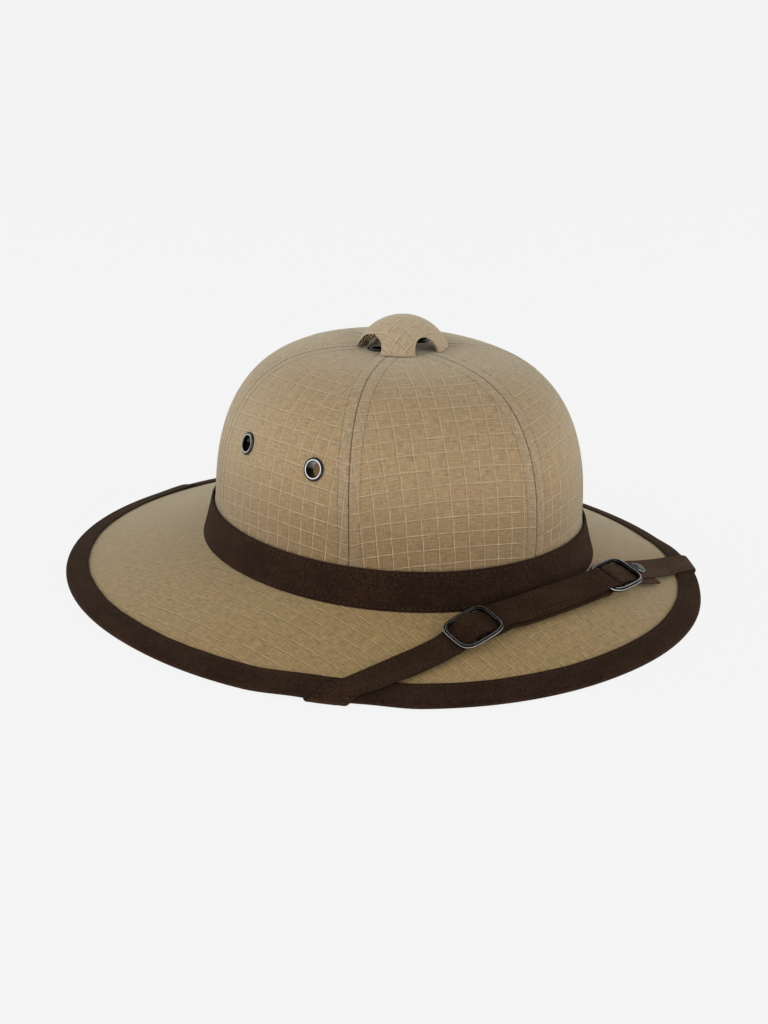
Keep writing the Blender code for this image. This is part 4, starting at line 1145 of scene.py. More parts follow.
def make_band():
    """The band from its foot up its outer face, over its top and down its inner face."""
    angles = np.arange(300) * 1.2
    along = path_length(closed(band_point(angles, 0.0)[None])[0], 0)
    rows = [(0.0, 0.25), (0.006, 0.08), (0.02, 0.0)]
    rows += [(row, 0.0) for row in np.linspace(0.05, 0.95, 16)]
    rows += [(0.975, 0.03), (0.99, 0.2), (1.0, BAND_WALL / 2), (0.99, BAND_WALL - 0.15)]
    rows += [(0.96, BAND_WALL), (0.5, BAND_WALL), (0.02, BAND_WALL), (0.0, BAND_WALL - 0.2)]
    ripple = 0.10 * np.sin(np.radians(angles * 9)) + 0.07 * np.sin(np.radians(angles * 23 + 40))
    grid, cloth = [], []
    for row, inset in rows:
        height = row * BAND_HEIGHT
        dent = 0.0
        if inset == 0:
            dent = TRIM_DENT * sum(near_line(height - at, STITCH_DENT_WIDTH) for at in BAND_STITCH_HEIGHTS)
            dent = dent + ripple * math.sin(math.pi * row)
        grid.append(band_point(angles, row, inset + dent))
        side = BAND_BACK_CLOTH if inset > 1 else 0.0
        cloth.append(np.stack([along, np.full(len(along), height + side)], -1))
    hoop("hat_band_cloth", grid, cloth, band_canvas, "hat_band")


# ---------------------------------------------------------------- the ventilator cap


def arch_way(arch):
    """The arch's middle, and its directions outwards and sideways."""
    turn = math.radians(arch["turn"])
    middle = np.array([0.0, CAP_Y, CAP_BASE_Z - CAP_ARCH_DROP])
    ahead = np.array([math.sin(turn), -math.cos(turn), 0.0])
    beside = np.array([math.cos(turn), math.sin(turn), 0.0])
    return middle, ahead, beside


def arch_rim(arch, lean):
    """Sideways and upward place on the arch's outline; lean is 0 at its top."""
    side, rise = np.sin(lean), np.cos(lean)
    power = 2 / CAP_ARCH_SQUARENESS
    return (
        arch["half_width"] * np.sign(side) * np.abs(side) ** power,
        CAP_ARCH_HEIGHT * np.sign(rise) * np.abs(rise) ** power,
    )


def arch_cutter(arch):
    """A long body with the arch's outline, from front to back through the cap."""
    middle, ahead, beside = arch_way(arch)
    across, up = arch_rim(arch, np.arange(64) * 2 * math.pi / 64)
    outline = middle + across[:, None] * beside + up[:, None] * UPRIGHT
    reach = ahead * CAP_CUTTER_REACH
    shell = Shell()
    numbers = closed(shell.add(np.stack([outline - reach, outline + reach])))
    shell.patch(numbers, no_cloth(numbers))
    shell.close_ends(numbers, no_cloth(numbers))
    cutter = shell.make("cutter", cap_ripstop)
    mesh = bmesh.new()
    mesh.from_mesh(cutter.data)
    bmesh.ops.recalc_face_normals(mesh, faces=mesh.faces)
    mesh.to_mesh(cutter.data)
    mesh.free()
    return cutter


def cap_section():
    """Rows from the top of the cap's dome down to its rim, and up its inner face again."""
    centre_drop = CAP_DOME_RADIUS - CAP_RISE
    inner_radius = CAP_DOME_RADIUS - CAP_WALL
    section = []
    for radius, parts in ((CAP_DOME_RADIUS, np.linspace(0, 1, 22)), (inner_radius, np.linspace(1, 0, 14))):
        rim = math.acos(centre_drop / radius)
        for turn in rim * parts:
            section.append((radius * math.sin(turn), radius * math.cos(turn) - centre_drop, FAR_FROM_SEAM))
    section[0] = (0.0, CAP_RISE, FAR_FROM_SEAM)
    section[-1] = (0.0, CAP_RISE - CAP_WALL, FAR_FROM_SEAM)
    return section


def lay_cap_cloth(mesh):
    """Lays flat cloth over the cap's dome, and lines its inner face with near-black cloth, as painted shade
    under the cap.
    """
    points = vertex_places(mesh) - np.array([0.0, CAP_Y, CAP_BASE_Z])
    centre_drop = CAP_DOME_RADIUS - CAP_RISE
    flat = np.linalg.norm(points[:, :2], axis=1)
    reach = CAP_DOME_RADIUS * np.arctan2(flat, points[:, 2] + centre_drop)
    spread = (reach / np.maximum(flat, 1e-6))[:, None]
    turn = math.radians(CAP_CLOTH_TURN)
    turning = np.array([[math.cos(turn), -math.sin(turn)], [math.sin(turn), math.cos(turn)]])
    place = points[:, :2] @ turning * spread + np.array(CAP_CLOTH_SLIDE)
    corners = np.zeros(len(mesh.loops), np.int32)
    mesh.loops.foreach_get("vertex_index", corners)
    mesh.uv_layers[CLOTH_UV].data.foreach_set("uv", place[corners].reshape(-1))
    mesh.attributes[SEAM_MARK].data.foreach_set("value", np.full(len(points), FAR_FROM_SEAM))
    mesh.materials.append(cap_painted_shade_lining)
    from_centre = np.linalg.norm(points + UPRIGHT * centre_drop, axis=1)
    inside = from_centre < CAP_DOME_RADIUS - CAP_WALL + CAP_INNER_SLACK
    for face in mesh.polygons:
        if all(inside[corner] for corner in face.vertices):
            face.material_index = len(mesh.materials) - 1


def make_cap():
    cap = turned("vent_cap_cloth", cap_section(), 120, (0.0, CAP_Y, CAP_BASE_Z), UPRIGHT, cap_ripstop)
    cut_out(cap, [arch_cutter(arch) for arch in CAP_ARCHES], FOLD_ROUNDING)
    lay_cap_cloth(cap.data)
    soften(cap.data)
    dress(cap, "vent_cap")


def hair(path, radius, sides=4):
    """A thin tapered thread along a path: its grid of points."""
    path = np.array(path)
    along = unit(np.gradient(path, axis=0))
    across = unit(np.cross(along, [0.3, 0.2, 0.93]))
    other = np.cross(along, across)
    turn = np.arange(sides) * 2 * math.pi / sides
    thick = radius * np.linspace(1.0, 0.35, len(path))
    spokes = across[:, None] * np.cos(turn)[None, :, None] + other[:, None] * np.sin(turn)[None, :, None]
    return path[:, None] + spokes * thick[:, None, None]


def make_frays():
    """Loose threads that hang from the inner edge of one arch of the cap."""
    chance = np.random.default_rng(7)
    shell = Shell()
    arch = CAP_ARCHES[1]
    middle, ahead, beside = arch_way(arch)
    for i in range(FRAY_COUNT):
        lean = math.radians(chance.uniform(-80, 8))
        off, up = arch_rim(arch, lean)
        start = middle + beside * off + UPRIGHT * up
        above_centre = start[2] - CAP_BASE_Z - CAP_RISE + CAP_DOME_RADIUS
        flat = math.sqrt(max(CAP_DOME_RADIUS**2 - above_centre**2, 0))
        start = start + ahead * (math.sqrt(max(flat**2 - off**2, 1.0)) - chance.uniform(0.2, 1.5))
        inwards = -(beside * math.sin(lean) + UPRIGHT * math.cos(lean))
        reach = chance.uniform(1.8, 5.2)
        bend = chance.normal(0, 0.7, 3) - 0.5 * UPRIGHT
        tip = start + (inwards * 0.7 + ahead * chance.uniform(0.0, 1.1)) * reach + bend
        path = [start - inwards * 0.4]
        for part in (0.25, 0.5, 0.75, 1.0):
            path.append(start + (tip - start) * part + bend * 0.5 * math.sin(math.pi * part))
        numbers = closed(shell.add(hair(path, FRAY_RADIUS)))
        shell.patch(numbers, no_cloth(numbers), i % 2)
        shell.close_ends(numbers, no_cloth(numbers), i % 2)
    dress(shell.make("vent_cap_frays", fray_thread, pale_fray_thread))


# ---------------------------------------------------------------- metal pieces


def make_eyelets():
    """A rolled front ring, a barrel and a turned-over back; a highlight is painted along the roll's crest."""
    section = [(4.1, 0.0, 0.0), (5.7, 0.0, 0.0)]
    for i in range(25):
        turn = math.pi * i / 24
        radius = EYELET_CREST + (1.4 if turn < math.pi / 2 else 0.65) * math.cos(turn)
        painted_highlight = near_line(radius - EYELET_CREST - 0.05, EYELET_HIGHLIGHT_SPREAD)
        section.append((radius, 0.15 + 0.75 * math.sin(turn), painted_highlight))
    section += [(3.7, -0.3, 0.0), (3.7, -4.6, 0.0), (3.8, -4.8, 0.0), (5.1, -4.8, 0.0)]
    section += [(5.3, -4.65, 0.2), (5.3, -4.35, 0.0), (5.15, -4.2, 0.0), (4.1, -4.2, 0.0)]
    for eyelet in EYELETS:
        # Each ring's section, with its painted highlight made stronger or weaker for that eyelet.
        worn = [(radius, height, mark * eyelet.get("painted_highlight", 1.0)) for radius, height, mark in section]
        name = eyelet["name"]
        dress(turned(name + "_ring", worn, 56, *eyelet_place(eyelet), eyelet_metal), name)


def buckle_frame(name):
    """The buckle's centre and its along, across and upward directions."""
    buckle = BUCKLES[name]
    climb, tilt = math.radians(buckle["climb"]), math.radians(buckle["tilt"])
    level_along, level_across = level_ways(buckle["heading"])
    along = math.cos(climb) * level_along + math.sin(climb) * UPRIGHT
    lifted = -math.sin(climb) * level_along + math.cos(climb) * UPRIGHT
    across = math.cos(tilt) * level_across + math.sin(tilt) * lifted
    return np.array(buckle["centre"]), along, across, np.cross(along, across)


def buckle_outline():
    """The wire's middle line: bowed sides that turn into the two ends through firm corners."""
    outline = []
    for i in range(96):
        turn = 2 * math.pi * i / 96
        side, rise = math.cos(turn), math.sin(turn)
        power = 2 / BUCKLE_SQUARENESS
        x = BUCKLE_LENGTH / 2 * math.copysign(abs(side) ** power, side)
        y = BUCKLE_WIDTH / 2 * math.copysign(abs(rise) ** power, rise)
        outline.append((x, y))
    return outline


def make_rivet():
    """A low dome with a highlight painted on its rim, its post through the strap, and the hidden plate under
    it.
    """
    section = [(0.0, 2.45, 0.0), (0.8, 2.42, 0.0), (1.6, 2.3, 0.0), (2.4, 2.08, 0.0), (3.1, 1.75, 0.0)]
    section += [(3.6, 1.4, 0.2), (3.85, 1.1, 0.7), (3.88, 0.98, 0.3), (3.7, 0.92, 0.0), (1.4, 0.92, 0.0)]
    section += [(1.4, -2.6, 0.0), (2.6, -2.6, 0.0), (2.6, -3.1, 0.0), (0.0, -3.1, 0.0)]
    centre, along, _, above = buckle_frame("end_buckle")
    slope = math.radians(RIVET_SLOPE)
    origin = centre + along * RIVET_ALONG + above * RIVET_ABOVE
    axis = unit(above * math.cos(slope) + along * math.sin(slope))
    dress(turned("strap_rivet_head", section, 48, origin, axis, rivet_metal), "strap_rivet")


# ---------------------------------------------------------------- geometry node trees


class Tree:
    """A geometry node tree with named inputs, built up node by node."""

    def __init__(self, name, inputs):
        self.group = bpy.data.node_groups.new(name, "GeometryNodeTree")
        self.group.interface.new_socket("Geometry", in_out="INPUT", socket_type="NodeSocketGeometry")
        for socket_name, kind in inputs.items():
            self.group.interface.new_socket(socket_name, in_out="INPUT", socket_type=kind)
        self.group.interface.new_socket("Geometry", in_out="OUTPUT", socket_type="NodeSocketGeometry")
        self.inputs = self.group.nodes.new("NodeGroupInput")

    def given(self, name):
        return self.inputs.outputs[name]

    def node(self, kind, settings=None, sockets=None, output=0):
        made = self.group.nodes.new(kind)
        for key, value in (settings or {}).items():
            setattr(made, key, value)
        for key, value in (sockets or {}).items():
            if isinstance(value, bpy.types.NodeSocket):
                self.group.links.new(value, made.inputs[key])
            else:
                made.inputs[key].default_value = value
        return made.outputs[output]

    def finish(self, geometry):
        """Ends the tree in Realize Instances and Set Material."""
        real = self.node("GeometryNodeRealizeInstances", None, {"Geometry": geometry})
        smooth = self.node("GeometryNodeSetShadeSmooth", None, {"Geometry": real})
        paint = {"Geometry": smooth, "Material": self.given("Material")}
        painted = self.node("GeometryNodeSetMaterial", None, paint)
        end = self.group.nodes.new("NodeGroupOutput")
        self.group.links.new(painted, end.inputs[0])
        return self.group


def wire_tree():
    """A round wire along a line."""
    inputs = {"Radius": "NodeSocketFloat", "Sides": "NodeSocketInt", "Material": "NodeSocketMaterial"}
    tree = Tree("bent_wire", inputs)
    line = tree.node("GeometryNodeMeshToCurve", None, {"Mesh": tree.given("Geometry")})
    circle = {"Radius": tree.given("Radius"), "Resolution": tree.given("Sides")}
    profile = tree.node("GeometryNodeCurvePrimitiveCircle", None, circle)
    sweep = {"Curve": line, "Profile Curve": profile, "Fill Caps": True}
    return tree.finish(tree.node("GeometryNodeCurveToMesh", None, sweep))


def stitch_tree():
    """Stitches along lines that lie on cloth, each turned to the line and to the cloth under it."""
    inputs = {
        "Pitch": "NodeSocketFloat",
        "Shift": "NodeSocketFloat",
        "Length": "NodeSocketFloat",
        "Width": "NodeSocketFloat",
        "Height": "NodeSocketFloat",
        "Seed": "NodeSocketInt",
        "Material": "NodeSocketMaterial",
    }
    tree = Tree("stitch_row", inputs)
    line = tree.node("GeometryNodeMeshToCurve", None, {"Mesh": tree.given("Geometry")})
    spacing = {"Curve": line, "Length": tree.given("Pitch")}
    spaced = tree.node("GeometryNodeResampleCurve", {"mode": "LENGTH"}, spacing)
    bead = tree.node("GeometryNodeMeshUVSphere", None, {"Segments": 6, "Rings": 4, "Radius": 0.5})
    half = {"X": tree.given("Length"), "Y": tree.given("Width"), "Z": tree.given("Height")}
    size = tree.node("ShaderNodeCombineXYZ", None, half)
    shift = tree.node("ShaderNodeCombineXYZ", None, {"X": tree.given("Shift")})
    stitch = tree.node("GeometryNodeTransform", None, {"Geometry": bead, "Translation": shift, "Scale": size})
    tangent = tree.node("GeometryNodeInputTangent")
    attribute = {"Name": CLOTH_NORMAL}
    normal = tree.node("GeometryNodeInputNamedAttribute", {"data_type": "FLOAT_VECTOR"}, attribute)
    forward = tree.node("FunctionNodeAlignRotationToVector", {"axis": "X"}, {"Vector": tangent})
    settings = {"axis": "Z", "pivot_axis": "X"}
    facing = tree.node("FunctionNodeAlignRotationToVector", settings, {"Rotation": forward, "Vector": normal})
    spread = {"Min": STITCH_SMALLEST, "Max": STITCH_LARGEST, "Seed": tree.given("Seed")}
    uneven = tree.node("FunctionNodeRandomValue", {"data_type": "FLOAT_VECTOR"}, spread)
    placed = {"Points": spaced, "Instance": stitch, "Rotation": facing, "Scale": uneven}
    return tree.finish(tree.node("GeometryNodeInstanceOnPoints", None, placed))


def line_object(name, lines):
    """Open or closed lines as one mesh of edges. A line is (points, normals, is_closed)."""
    points, normals, edges = [], [], []
    for line, line_normals, is_closed in lines:
        first, count = len(points), len(line)
        points.extend((np.array(line) * MM).tolist())
        normals.extend(np.array(line_normals).tolist())
        edges.extend((first + i, first + i + 1) for i in range(count - 1))
        if is_closed:
            edges.append((first + count - 1, first))
    mesh = bpy.data.meshes.new(name)
    mesh.from_pydata(points, edges, [])
    facing = mesh.attributes.new(CLOTH_NORMAL, "FLOAT_VECTOR", "POINT")
    facing.data.foreach_set("vector", np.array(normals).reshape(-1))
    return place_object(name, mesh)


def run_tree(piece, group, values):
    """Runs a tree on a piece with these inputs and keeps the plain mesh it makes."""
    modifier = piece.modifiers.new(group.name, "NODES")
    modifier.node_group = group
    for item in group.interface.items_tree:
        if item.item_type == "SOCKET" and item.in_out == "INPUT" and item.name in values:
            modifier[item.identifier] = values[item.name]
    return applied(piece)


bent_wire = wire_tree()
stitch_row = stitch_tree()


def sew(name, lines, yarn, shadow):
    """A row of stitches, and the small painted shadows where the needle went in between them: dark beads laid
    on the cloth.
    """
    stitch = STITCHING[name]
    pitch, length, width, height = (stitch[key] * MM for key in ("pitch", "length", "width", "height"))
    threads = {"Shift": 0.0, "Length": length, "Width": width, "Height": height}
    threads.update({"Pitch": pitch, "Seed": stitch["seed"], "Material": yarn})
    dress(run_tree(line_object(name, lines), stitch_row, threads))
    hole_shadows = {"Shift": pitch / 2, "Length": (pitch - length) * HOLE_STRETCH, "Width": width * HOLE_SPREAD}
    hole_shadows.update({"Pitch": pitch, "Height": HOLE_HEIGHT * MM, "Seed": stitch["seed"] + 1, "Material": shadow})
    dress(run_tree(line_object(name + "_holes", lines), stitch_row, hole_shadows))


def paint_wire_highlights(piece, loop, above):
    """Marks the wire along lines at set angles above its outer edge, where a highlight is painted on the
    black.
    """
    points = vertex_places(piece.data)
    nearest = np.argmin(np.linalg.norm(points[:, None] - loop[None], axis=2), axis=1)
    way = unit(np.roll(loop, -1, axis=0) - np.roll(loop, 1, axis=0))
    outward = np.cross(way, above)[nearest]
    off = points - loop[nearest]
    lean = np.degrees(np.arctan2(off @ above, np.einsum("ij,ij->i", off, outward)))
    painted_highlight = [line["strength"] * near_line(lean - line["middle"], line["width"]) for line in PAINTED_HIGHLIGHT_LINES]
    mark = piece.data.attributes.new(SEAM_MARK, "FLOAT", "POINT")
    mark.data.foreach_set("value", np.max(painted_highlight, axis=0))
    return piece


def bend_wire(name, line, above, is_closed, radius, sides):
    """A wire along a line in a buckle."""
    values = {"Radius": radius * MM, "Sides": sides, "Material": buckle_metal}
    return run_tree(line_object(name, [(line, [above] * len(line), is_closed)]), bent_wire, values)


def make_buckles():
    for name, fit in BUCKLE_FIT.items():
        centre, along, across, above = buckle_frame(name)
        middle = centre + along * fit["along"] + across * fit["across"]
        loop = [middle + along * x + across * y * fit["wider"] for x, y in buckle_outline()]
        wire = bend_wire(name + "_wire", loop, above, True, WIRE_LOOK_RADIUS, WIRE_SIDES)
        dress(paint_wire_highlights(wire, np.array(loop), above), name)
        half = BUCKLE_WIDTH / 2
        rows = [(half, -0.1), (half - 0.3, -1.5), (STRAP_WIDTH / 2 + 0.6, -CENTRE_BAR_DROP)]
        rows += [(-y, z) for y, z in reversed(rows)]
        bar = [centre + across * (y + fit["across"]) + above * z for y, z in rows]
        dress(bend_wire(name + "_bar", bar, above, False, CENTRE_BAR_RADIUS, BAR_SIDES))


# ---------------------------------------------------------------- the chin strap
# A station is three points across the strap, from the crown's side outwards, and the normals of its
# outer face there.

ACROSS = np.array([1.0, 0.0, -1.0])


def local_turn(crossing, run):
    """Degrees along the edge that the strap drifts with each millimetre of its run."""
    return crossing["turn"] if run < 0 else crossing["wrap_turn"]


def crossing_angle(crossing, run):
    """Where the strap's middle is round the hat, before its side is taken into account."""
    return crossing["angle"] + local_turn(crossing, run) * run


def skin_station(crossing, angle, run, height, half):
    """A station along a line of equal run, with half its width as an angle."""
    angles = crossing["side"] * (angle + ACROSS * half)
    points, normals = skin(angles, run, height)
    return np.array([pressed(points, STRAP_THICKNESS / 2), normals])


def half_angle(crossing, run):
    """Half the strap's width in degrees, measured along the edge, which it crosses at a slant."""
    turned_angle = crossing["side"] * crossing_angle(crossing, run)
    part = 1 + min(run, 0) / brim_span(turned_angle)
    degree = np.linalg.norm(brim_mid(turned_angle + 0.5, part) - brim_mid(turned_angle - 0.5, part))
    return STRAP_WIDTH / 2 * math.hypot(1, local_turn(crossing, run) * degree) / degree


def wall_stations(crossing):
    """From the inside of the crown down its wall, round its rim and outwards below it."""
    side = crossing["side"]
    angles = side * (crossing["anchor"] + ACROSS * ANCHOR_HALF_ANGLE)
    rows = [(level, STRAP_ON_CROWN, None) for level in reversed(ANCHOR_HEIGHT_LEVELS)]
    for turn in (0, 45, 90):
        z = BAND_LINE_Z - CROWN_RIM_DROP - STRAP_RIM_BEND * math.sin(math.radians(turn))
        rows.append((-1.0, CROWN_WALL + STRAP_RIM_BEND * math.cos(math.radians(turn)), z))
    rows.append((-1.0, STRAP_TURN_INSET, rows[-1][2]))
    places = []
    for level, inset, z in rows:
        points = crown_point(angles, level, inset)
        if z is not None:
            points[:, 2] = z
        places.append(points)
    tangents = np.gradient(np.array([points[1] for points in places]), axis=0)
    stations = []
    for points, tangent in zip(places, tangents):
        normal = unit(np.cross(points[0] - points[2], tangent)) * side
        stations.append(np.array([points, [normal] * 3]))
    return stations


def under_brim_stations(crossing):
    """Out under the brim and to the start of the edge."""
    start = crossing_angle(crossing, math.pi * STRAP_AROUND_EDGE)
    span = brim_span(crossing["side"] * crossing["anchor"])
    edge_half = half_angle(crossing, 0.0)
    stations = []
    for part in UNDER_BRIM_PARTS:
        lean = 3 * part**2 - 2 * part**3
        slide = crossing["wrap_turn"] * span * (part - 2 * part**2 + part**3)
        angle = start + (crossing["anchor"] - start) * lean + slide
        height = STRAP_UNDER_BRIM if part > BINDING_PART else STRAP_AROUND_EDGE
        half = ANCHOR_HALF_ANGLE + (edge_half - ANCHOR_HALF_ANGLE) * (1 - part)
        stations.append(skin_station(crossing, angle, math.pi * height + span * part, height, half))
    return stations


def edge_stations(crossing):
    """Round the edge, from underneath to the inner edge of the binding on top."""
    turn = math.pi * STRAP_AROUND_EDGE
    runs = [turn + 3.0]
    runs += [turn * i / 8 for i in range(8, -1, -1)]
    runs += [-BINDING_WIDTH * i / 3 for i in (1, 2, 3)]
    stations = []
    for run in runs:
        height = STRAP_AROUND_EDGE + (STRAP_GAP if run < 0 else 0)
        angle = crossing_angle(crossing, run)
        stations.append(skin_station(crossing, angle, run, height, half_angle(crossing, run)))
    return stations


def flat_station(middle, across, normal):
    across = across * STRAP_WIDTH / 2
    return np.array([[middle + across, middle, middle - across], [normal] * 3])


def brim_station(row):
    """A station laid on the brim at a place seen from above."""
    point, _, normal = brim_frame(*brim_under(row["x"], row["y"]))
    ahead, _ = level_ways(row["heading"])
    return flat_station(point + normal * row["height"], unit(np.cross(normal, ahead)), normal)


def free_station(row, lower):
    """A station between the buckles, in the upper layer or on the underside of the lower one."""
    tilt = math.radians(row["tilt"])
    ahead, level_across = level_ways(row["heading"])
    across = math.cos(tilt) * level_across + math.sin(tilt) * UPRIGHT
    normal = np.cross(ahead, across)
    middle = np.array([row["x"], row["y"], row["z"]])
    if lower:
        middle = middle - normal * STRAP_LAYER_STEP - across * LOWER_LAYER_SLIP
        normal = -normal
    return flat_station(middle, across, normal)


def buckle_stations(name, route, facing):
    """Stations through a buckle. Facing is 1 where the strap's outer face is on the left of its way."""
    centre, along, across, above = buckle_frame(name)
    places = np.array([(row["along"], row["above"]) for row in route])
    ways = np.gradient(places, axis=0)
    stations = []
    for row, (x, z), (way_x, way_z) in zip(route, places, ways):
        middle = centre + along * x + above * z - across * row.get("slip", 0.0)
        stations.append(flat_station(middle, across, facing * unit(above * way_x - along * way_z)))
    return stations


def fill(stations, longest):
    """Adds smooth stations where two neighbours are far apart."""
    filled = []
    for k in range(len(stations) - 1):
        here, after = stations[k], stations[k + 1]
        before = stations[k - 1] if k > 0 else here
        beyond = stations[k + 2] if k + 2 < len(stations) else after
        length = np.linalg.norm(after[0][1] - here[0][1])
        leave = (after - before) * length / (length + np.linalg.norm(here[0][1] - before[0][1]))
        arrive = (beyond - here) * length / (length + np.linalg.norm(beyond[0][1] - after[0][1]))
        pieces = int(length / longest) + 1
        for i in range(pieces):
            t = i / pieces
            mixed = (2 * t**3 - 3 * t**2 + 1) * here + (3 * t**2 - 2 * t**3) * after
            mixed = mixed + (t**3 - 2 * t**2 + t) * leave + (t**3 - t**2) * arrive
            mixed[1] = unit(mixed[1])
            filled.append(mixed)
    filled.append(stations[-1])
    return np.array(filled)


def across_strap(stations, part):
    """Middle point and outward normal at a part of the width, 1 on the crown's side to -1 outside."""
    weights = np.array([part * (part + 1) / 2, 1 - part * part, part * (part - 1) / 2])
    points = np.einsum("i,kij->kj", weights, stations[:, 0])
    return points, unit(np.einsum("i,kij->kj", weights, stations[:, 1]))


def strap_section():
    """Part of the width and height from the middle for a folded, edge-stitched strap."""
    half = STRAP_THICKNESS / 2
    parts = [-0.995, -0.975, -0.94, -0.87, -0.78, -0.72, -0.66, -0.5, -0.25, 0.0]
    parts += [-part for part in reversed(parts[:-1])]
    rows = []
    for part in parts:
        off = (1 - abs(part)) * STRAP_WIDTH / 2
        rounded = min(off / STRAP_EDGE_ROUND, 1) ** 0.5
        height = half * (STRAP_EDGE_SHARE + (1 - STRAP_EDGE_SHARE) * rounded)
        height -= TRIM_DENT * near_line(off - STITCH_INSET, STITCH_DENT_WIDTH)
        rows.append((part, height))
    return rows + [(part, -height) for part, height in reversed(rows)]


def make_strap(name, stations, material, yarn):
    """A strap through its stations, with a row of stitches along each edge."""
    fine = fill(fill(stations, COARSE_STEP), FINE_STEP)
    run = path_length(fine[:, 0, 1][None], 1)[0]
    grid, cloth = [], []
    for part, height in strap_section():
        points, normals = across_strap(fine, part)
        grid.append(points + normals * height)
        side = 0.0 if height > 0 else STRAP_BACK_CLOTH
        cloth.append(np.stack([run, np.full(len(run), part * STRAP_WIDTH / 2 + side)], -1))
    shell = Shell()
    numbers, cloth = closed(shell.add(np.stack(grid, 1))), closed(np.stack(cloth, 1))
    shell.patch(numbers, cloth)
    shell.close_ends(numbers, cloth)
    dress(shell.make(name + "_cloth", material), name)
    first, last = STITCHED_SHARE
    span = (run > first * run[-1]) & (run < last * run[-1])
    lines = []
    for side in (1, -1):
        points, normals = across_strap(fine, side * (1 - 2 * STITCH_INSET / STRAP_WIDTH))
        laid = pressed(points[span] + normals[span] * (STRAP_THICKNESS / 2 - TRIM_SINK), STITCH_CLEARANCE)
        lines.append((laid, normals[span], False))
    sew(name + "_stitches", lines, yarn, brown_shadow)


def make_straps():
    crossing = STRAP_CROSSINGS["long"]
    long_run = wall_stations(crossing) + under_brim_stations(crossing) + edge_stations(crossing)
    long_run += [brim_station(row) for row in LONG_ON_BRIM]
    long_run += buckle_stations("slider_buckle", SLIDER_RUN, 1)
    long_run += [free_station(row, False) for row in BETWEEN_BUCKLES]
    long_run += buckle_stations("end_buckle", END_FOLD, 1)
    long_run += [free_station(row, True) for row in reversed(BETWEEN_BUCKLES)]
    long_run += buckle_stations("slider_buckle", SLIDER_END, 1)
    make_strap("chin_strap_long", long_run, strap_canvas, brown_thread)
    crossing = STRAP_CROSSINGS["short"]
    short_run = wall_stations(crossing) + under_brim_stations(crossing) + edge_stations(crossing)
    short_run += [brim_station(row) for row in SHORT_ON_BRIM]
    short_run += buckle_stations("end_buckle", SHORT_TURN, -1)
    make_strap("chin_strap_short", short_run, worn_canvas, worn_thread)


# ---------------------------------------------------------------- stitching


def sew_crown():
    """Two rows of topstitching along each seam, from the band up to the cap."""
    levels = np.linspace(*TOPSTITCHED_LEVELS, 160)
    stations = np.linspace(0, 1, 400)
    lines = []
    for gore in range(len(SEAMS)):
        across = path_length(gore_grid(gore, stations, levels), 1)
        for from_next in (False, True):
            line, normals = [], []
            for k, level in enumerate(levels):
                width = across[k, -1]
                offset = min(TOPSTITCH_OFFSET, width * TOPSTITCH_LIMIT)
                station = np.interp(width - offset if from_next else offset, across[k], stations)
                angle = gore_angle(gore, station, level)
                normal = crown_normal(angle, max(level, 0.0))
                line.append(crown_point(angle, level) - normal * TOPSTITCH_SINK)
                normals.append(normal)
            lines.append((line, normals, False))
    sew("crown_topstitching", lines, tan_thread, tan_shadow)


def sew_band():
    angles = np.arange(360.0)
    lines = []
    for height in BAND_STITCH_HEIGHTS:
        row = height / BAND_HEIGHT
        points = band_point(angles, row, TRIM_SINK)
        around = band_point(angles + 0.5, row) - band_point(angles - 0.5, row)
        upward = band_point(angles, row + 0.02) - band_point(angles, row - 0.02)
        lines.append((points, unit(np.cross(around, upward)), True))
    sew("hat_band_stitches", lines, brown_thread, brown_shadow)


def sew_binding():
    angles = np.arange(0, 360, 0.75)
    lines = []
    for run in (-BINDING_WIDTH + STITCH_INSET, math.pi * EDGE_RADIUS + BINDING_WIDTH - STITCH_INSET):
        points, normals = skin(angles, run, EDGE_RADIUS - BINDING_DENT + binding_lap(angles))
        lines.append((points, normals, True))
    sew("brim_binding_stitches", lines, brown_thread, brown_shadow)


# ---------------------------------------------------------------- floor, light and camera

CAMERA_TURN = -41.507
CAMERA_RISE = 20.494
CAMERA_ROLL = 0.53
CAMERA_DISTANCE = 1004.3
CAMERA_AIM = (0.0, -13.54, 23.7)
FOCAL_PIXELS = 1931.5
PHOTO_WIDTH, PHOTO_HEIGHT = 768, 1024
PHOTO_CENTRE = (396.105, 537.255)
SENSOR_WIDTH = 36.0
CLIP_END = 100.0  # metres
LIGHT_AIM = (0.0, 0.0, 0.05)  # metres
FLOOR_REACH = 30.0  # metres
FLOOR_Z = -0.0002  # metres, just under the hat
FLOOR_GREY = (0.04, 0.04, 0.04, 1.0)
WHITE = (1.0, 1.0, 1.0, 1.0)
FLOOR_GLOW = 0.882
# The sky fades from the floor's glow to its own strength between these heights of the way looked.
SKY_FADE = {"From Min": 0.06, "From Max": 0.36, "To Min": FLOOR_GLOW, "To Max": 0.34}
LIGHTS = (
    {"name": "left", "turn": -100, "rise": 24, "far": 1.4, "size": (0.7, 0.9), "power": 3.9},
    {"name": "left_back", "turn": -150, "rise": 32, "far": 1.5, "size": (0.9, 0.9), "power": 4.3},
    {"name": "right", "turn": 20, "rise": 28, "far": 1.4, "size": (0.7, 0.9), "power": 3.7},
    {"name": "right_back", "turn": 85, "rise": 32, "far": 1.5, "size": (0.9, 0.9), "power": 2.7},
    {"name": "low_strip", "turn": -50, "rise": 3, "far": 1.5, "size": (1.6, 0.12), "power": 0.9},
)


def way_out(turn, rise):
    """The direction from the hat at an angle round it, counted from the front, and raised by another."""
    turn, rise = math.radians(turn), math.radians(rise)
    return Vector((math.sin(turn) * math.cos(rise), -math.cos(turn) * math.cos(rise), math.sin(rise)))


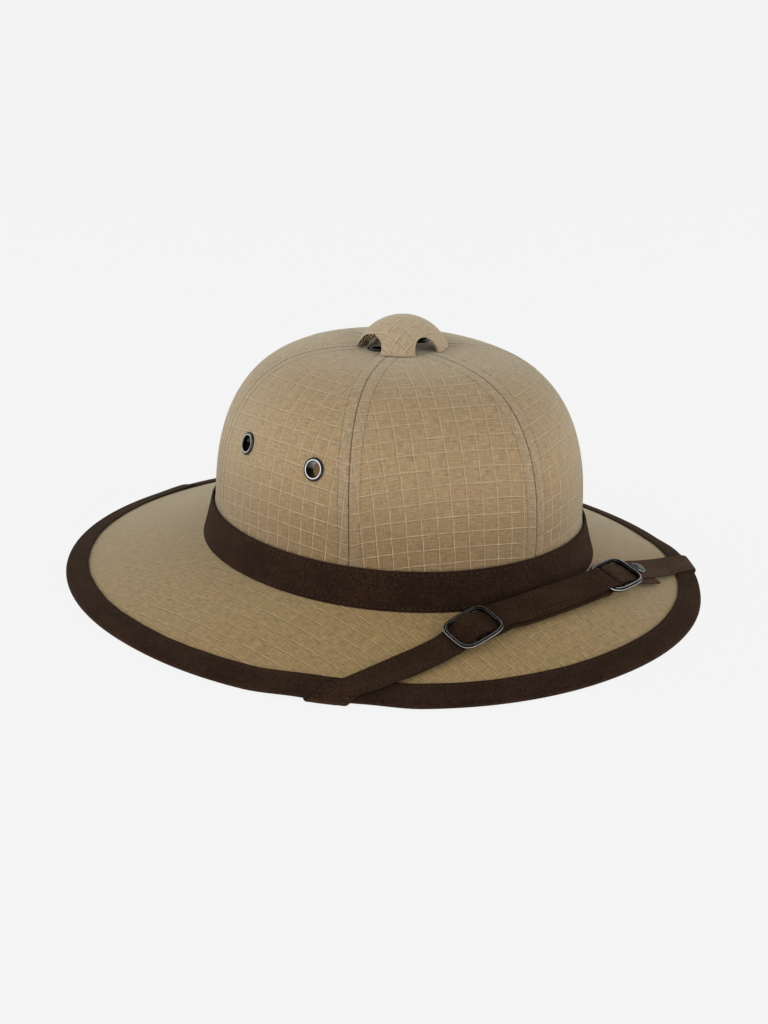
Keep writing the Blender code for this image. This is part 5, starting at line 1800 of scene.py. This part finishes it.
def make_camera():
    turn, roll = math.radians(CAMERA_TURN), math.radians(CAMERA_ROLL)
    back = way_out(CAMERA_TURN, CAMERA_RISE)
    right = Vector((math.cos(turn), math.sin(turn), 0.0))
    up = back.cross(right)
    rolled_right = right * math.cos(roll) + up * math.sin(roll)
    rolled_up = up * math.cos(roll) - right * math.sin(roll)
    camera = place_object("camera", bpy.data.cameras.new("camera"))
    place = Matrix((rolled_right, rolled_up, back)).transposed().to_4x4()
    place.translation = (Vector(CAMERA_AIM) + back * CAMERA_DISTANCE) * MM
    camera.matrix_world = place
    camera.data.sensor_width = SENSOR_WIDTH
    camera.data.lens = FOCAL_PIXELS * SENSOR_WIDTH / PHOTO_HEIGHT
    camera.data.shift_x = (PHOTO_WIDTH / 2 - PHOTO_CENTRE[0]) / PHOTO_HEIGHT
    camera.data.shift_y = (PHOTO_CENTRE[1] - PHOTO_HEIGHT / 2) / PHOTO_HEIGHT
    camera.data.clip_end = CLIP_END
    bpy.context.scene.camera = camera


def make_light(name, turn, rise, far, size, power):
    """A soft box that looks at the hat, turned round it from the front and raised by these angles."""
    lamp = bpy.data.lights.new(name, "AREA")
    lamp.shape = "RECTANGLE"
    lamp.size, lamp.size_y = size
    lamp.energy = power
    light = place_object(name, lamp)
    way = way_out(turn, rise)
    light.location = Vector(LIGHT_AIM) + way * far
    light.rotation_euler = way.to_track_quat("Z", "Y").to_euler()


def make_floor():
    corners = ((-1, -1), (1, -1), (1, 1), (-1, 1))
    mesh = bpy.data.meshes.new("floor")
    mesh.from_pydata([(x * FLOOR_REACH, y * FLOOR_REACH, FLOOR_Z) for x, y in corners], [], [(0, 1, 2, 3)])
    pale = Finish("floor_pale", 1.0, specular_ior_level=0.0)
    pale.set("Base Color", FLOOR_GREY)
    pale.set("Emission Color", WHITE)
    pale.set("Emission Strength", FLOOR_GLOW)
    mesh.materials.append(pale.material)
    place_object("floor", mesh)


def make_sky():
    world = bpy.data.worlds.new("studio")
    world.use_nodes = True
    sky = world.node_tree
    way = sky.nodes.new("ShaderNodeSeparateXYZ")
    sky.links.new(sky.nodes.new("ShaderNodeTexCoord").outputs["Generated"], way.inputs[0])
    fade = sky.nodes.new("ShaderNodeMapRange")
    fade.interpolation_type = "SMOOTHSTEP"
    sky.links.new(way.outputs["Z"], fade.inputs["Value"])
    for socket, value in SKY_FADE.items():
        fade.inputs[socket].default_value = value
    sky.nodes["Background"].inputs["Color"].default_value = WHITE
    sky.links.new(fade.outputs["Result"], sky.nodes["Background"].inputs["Strength"])
    bpy.context.scene.world = world
    bpy.context.scene.view_settings.view_transform = "Standard"


make_camera()
make_floor()
make_sky()
for light in LIGHTS:
    make_light(**light)
make_crown()
make_brim()
make_binding()
make_band()
make_cap()
make_frays()
make_eyelets()
make_buckles()
make_rivet()
make_straps()
sew_crown()
sew_band()
sew_binding()
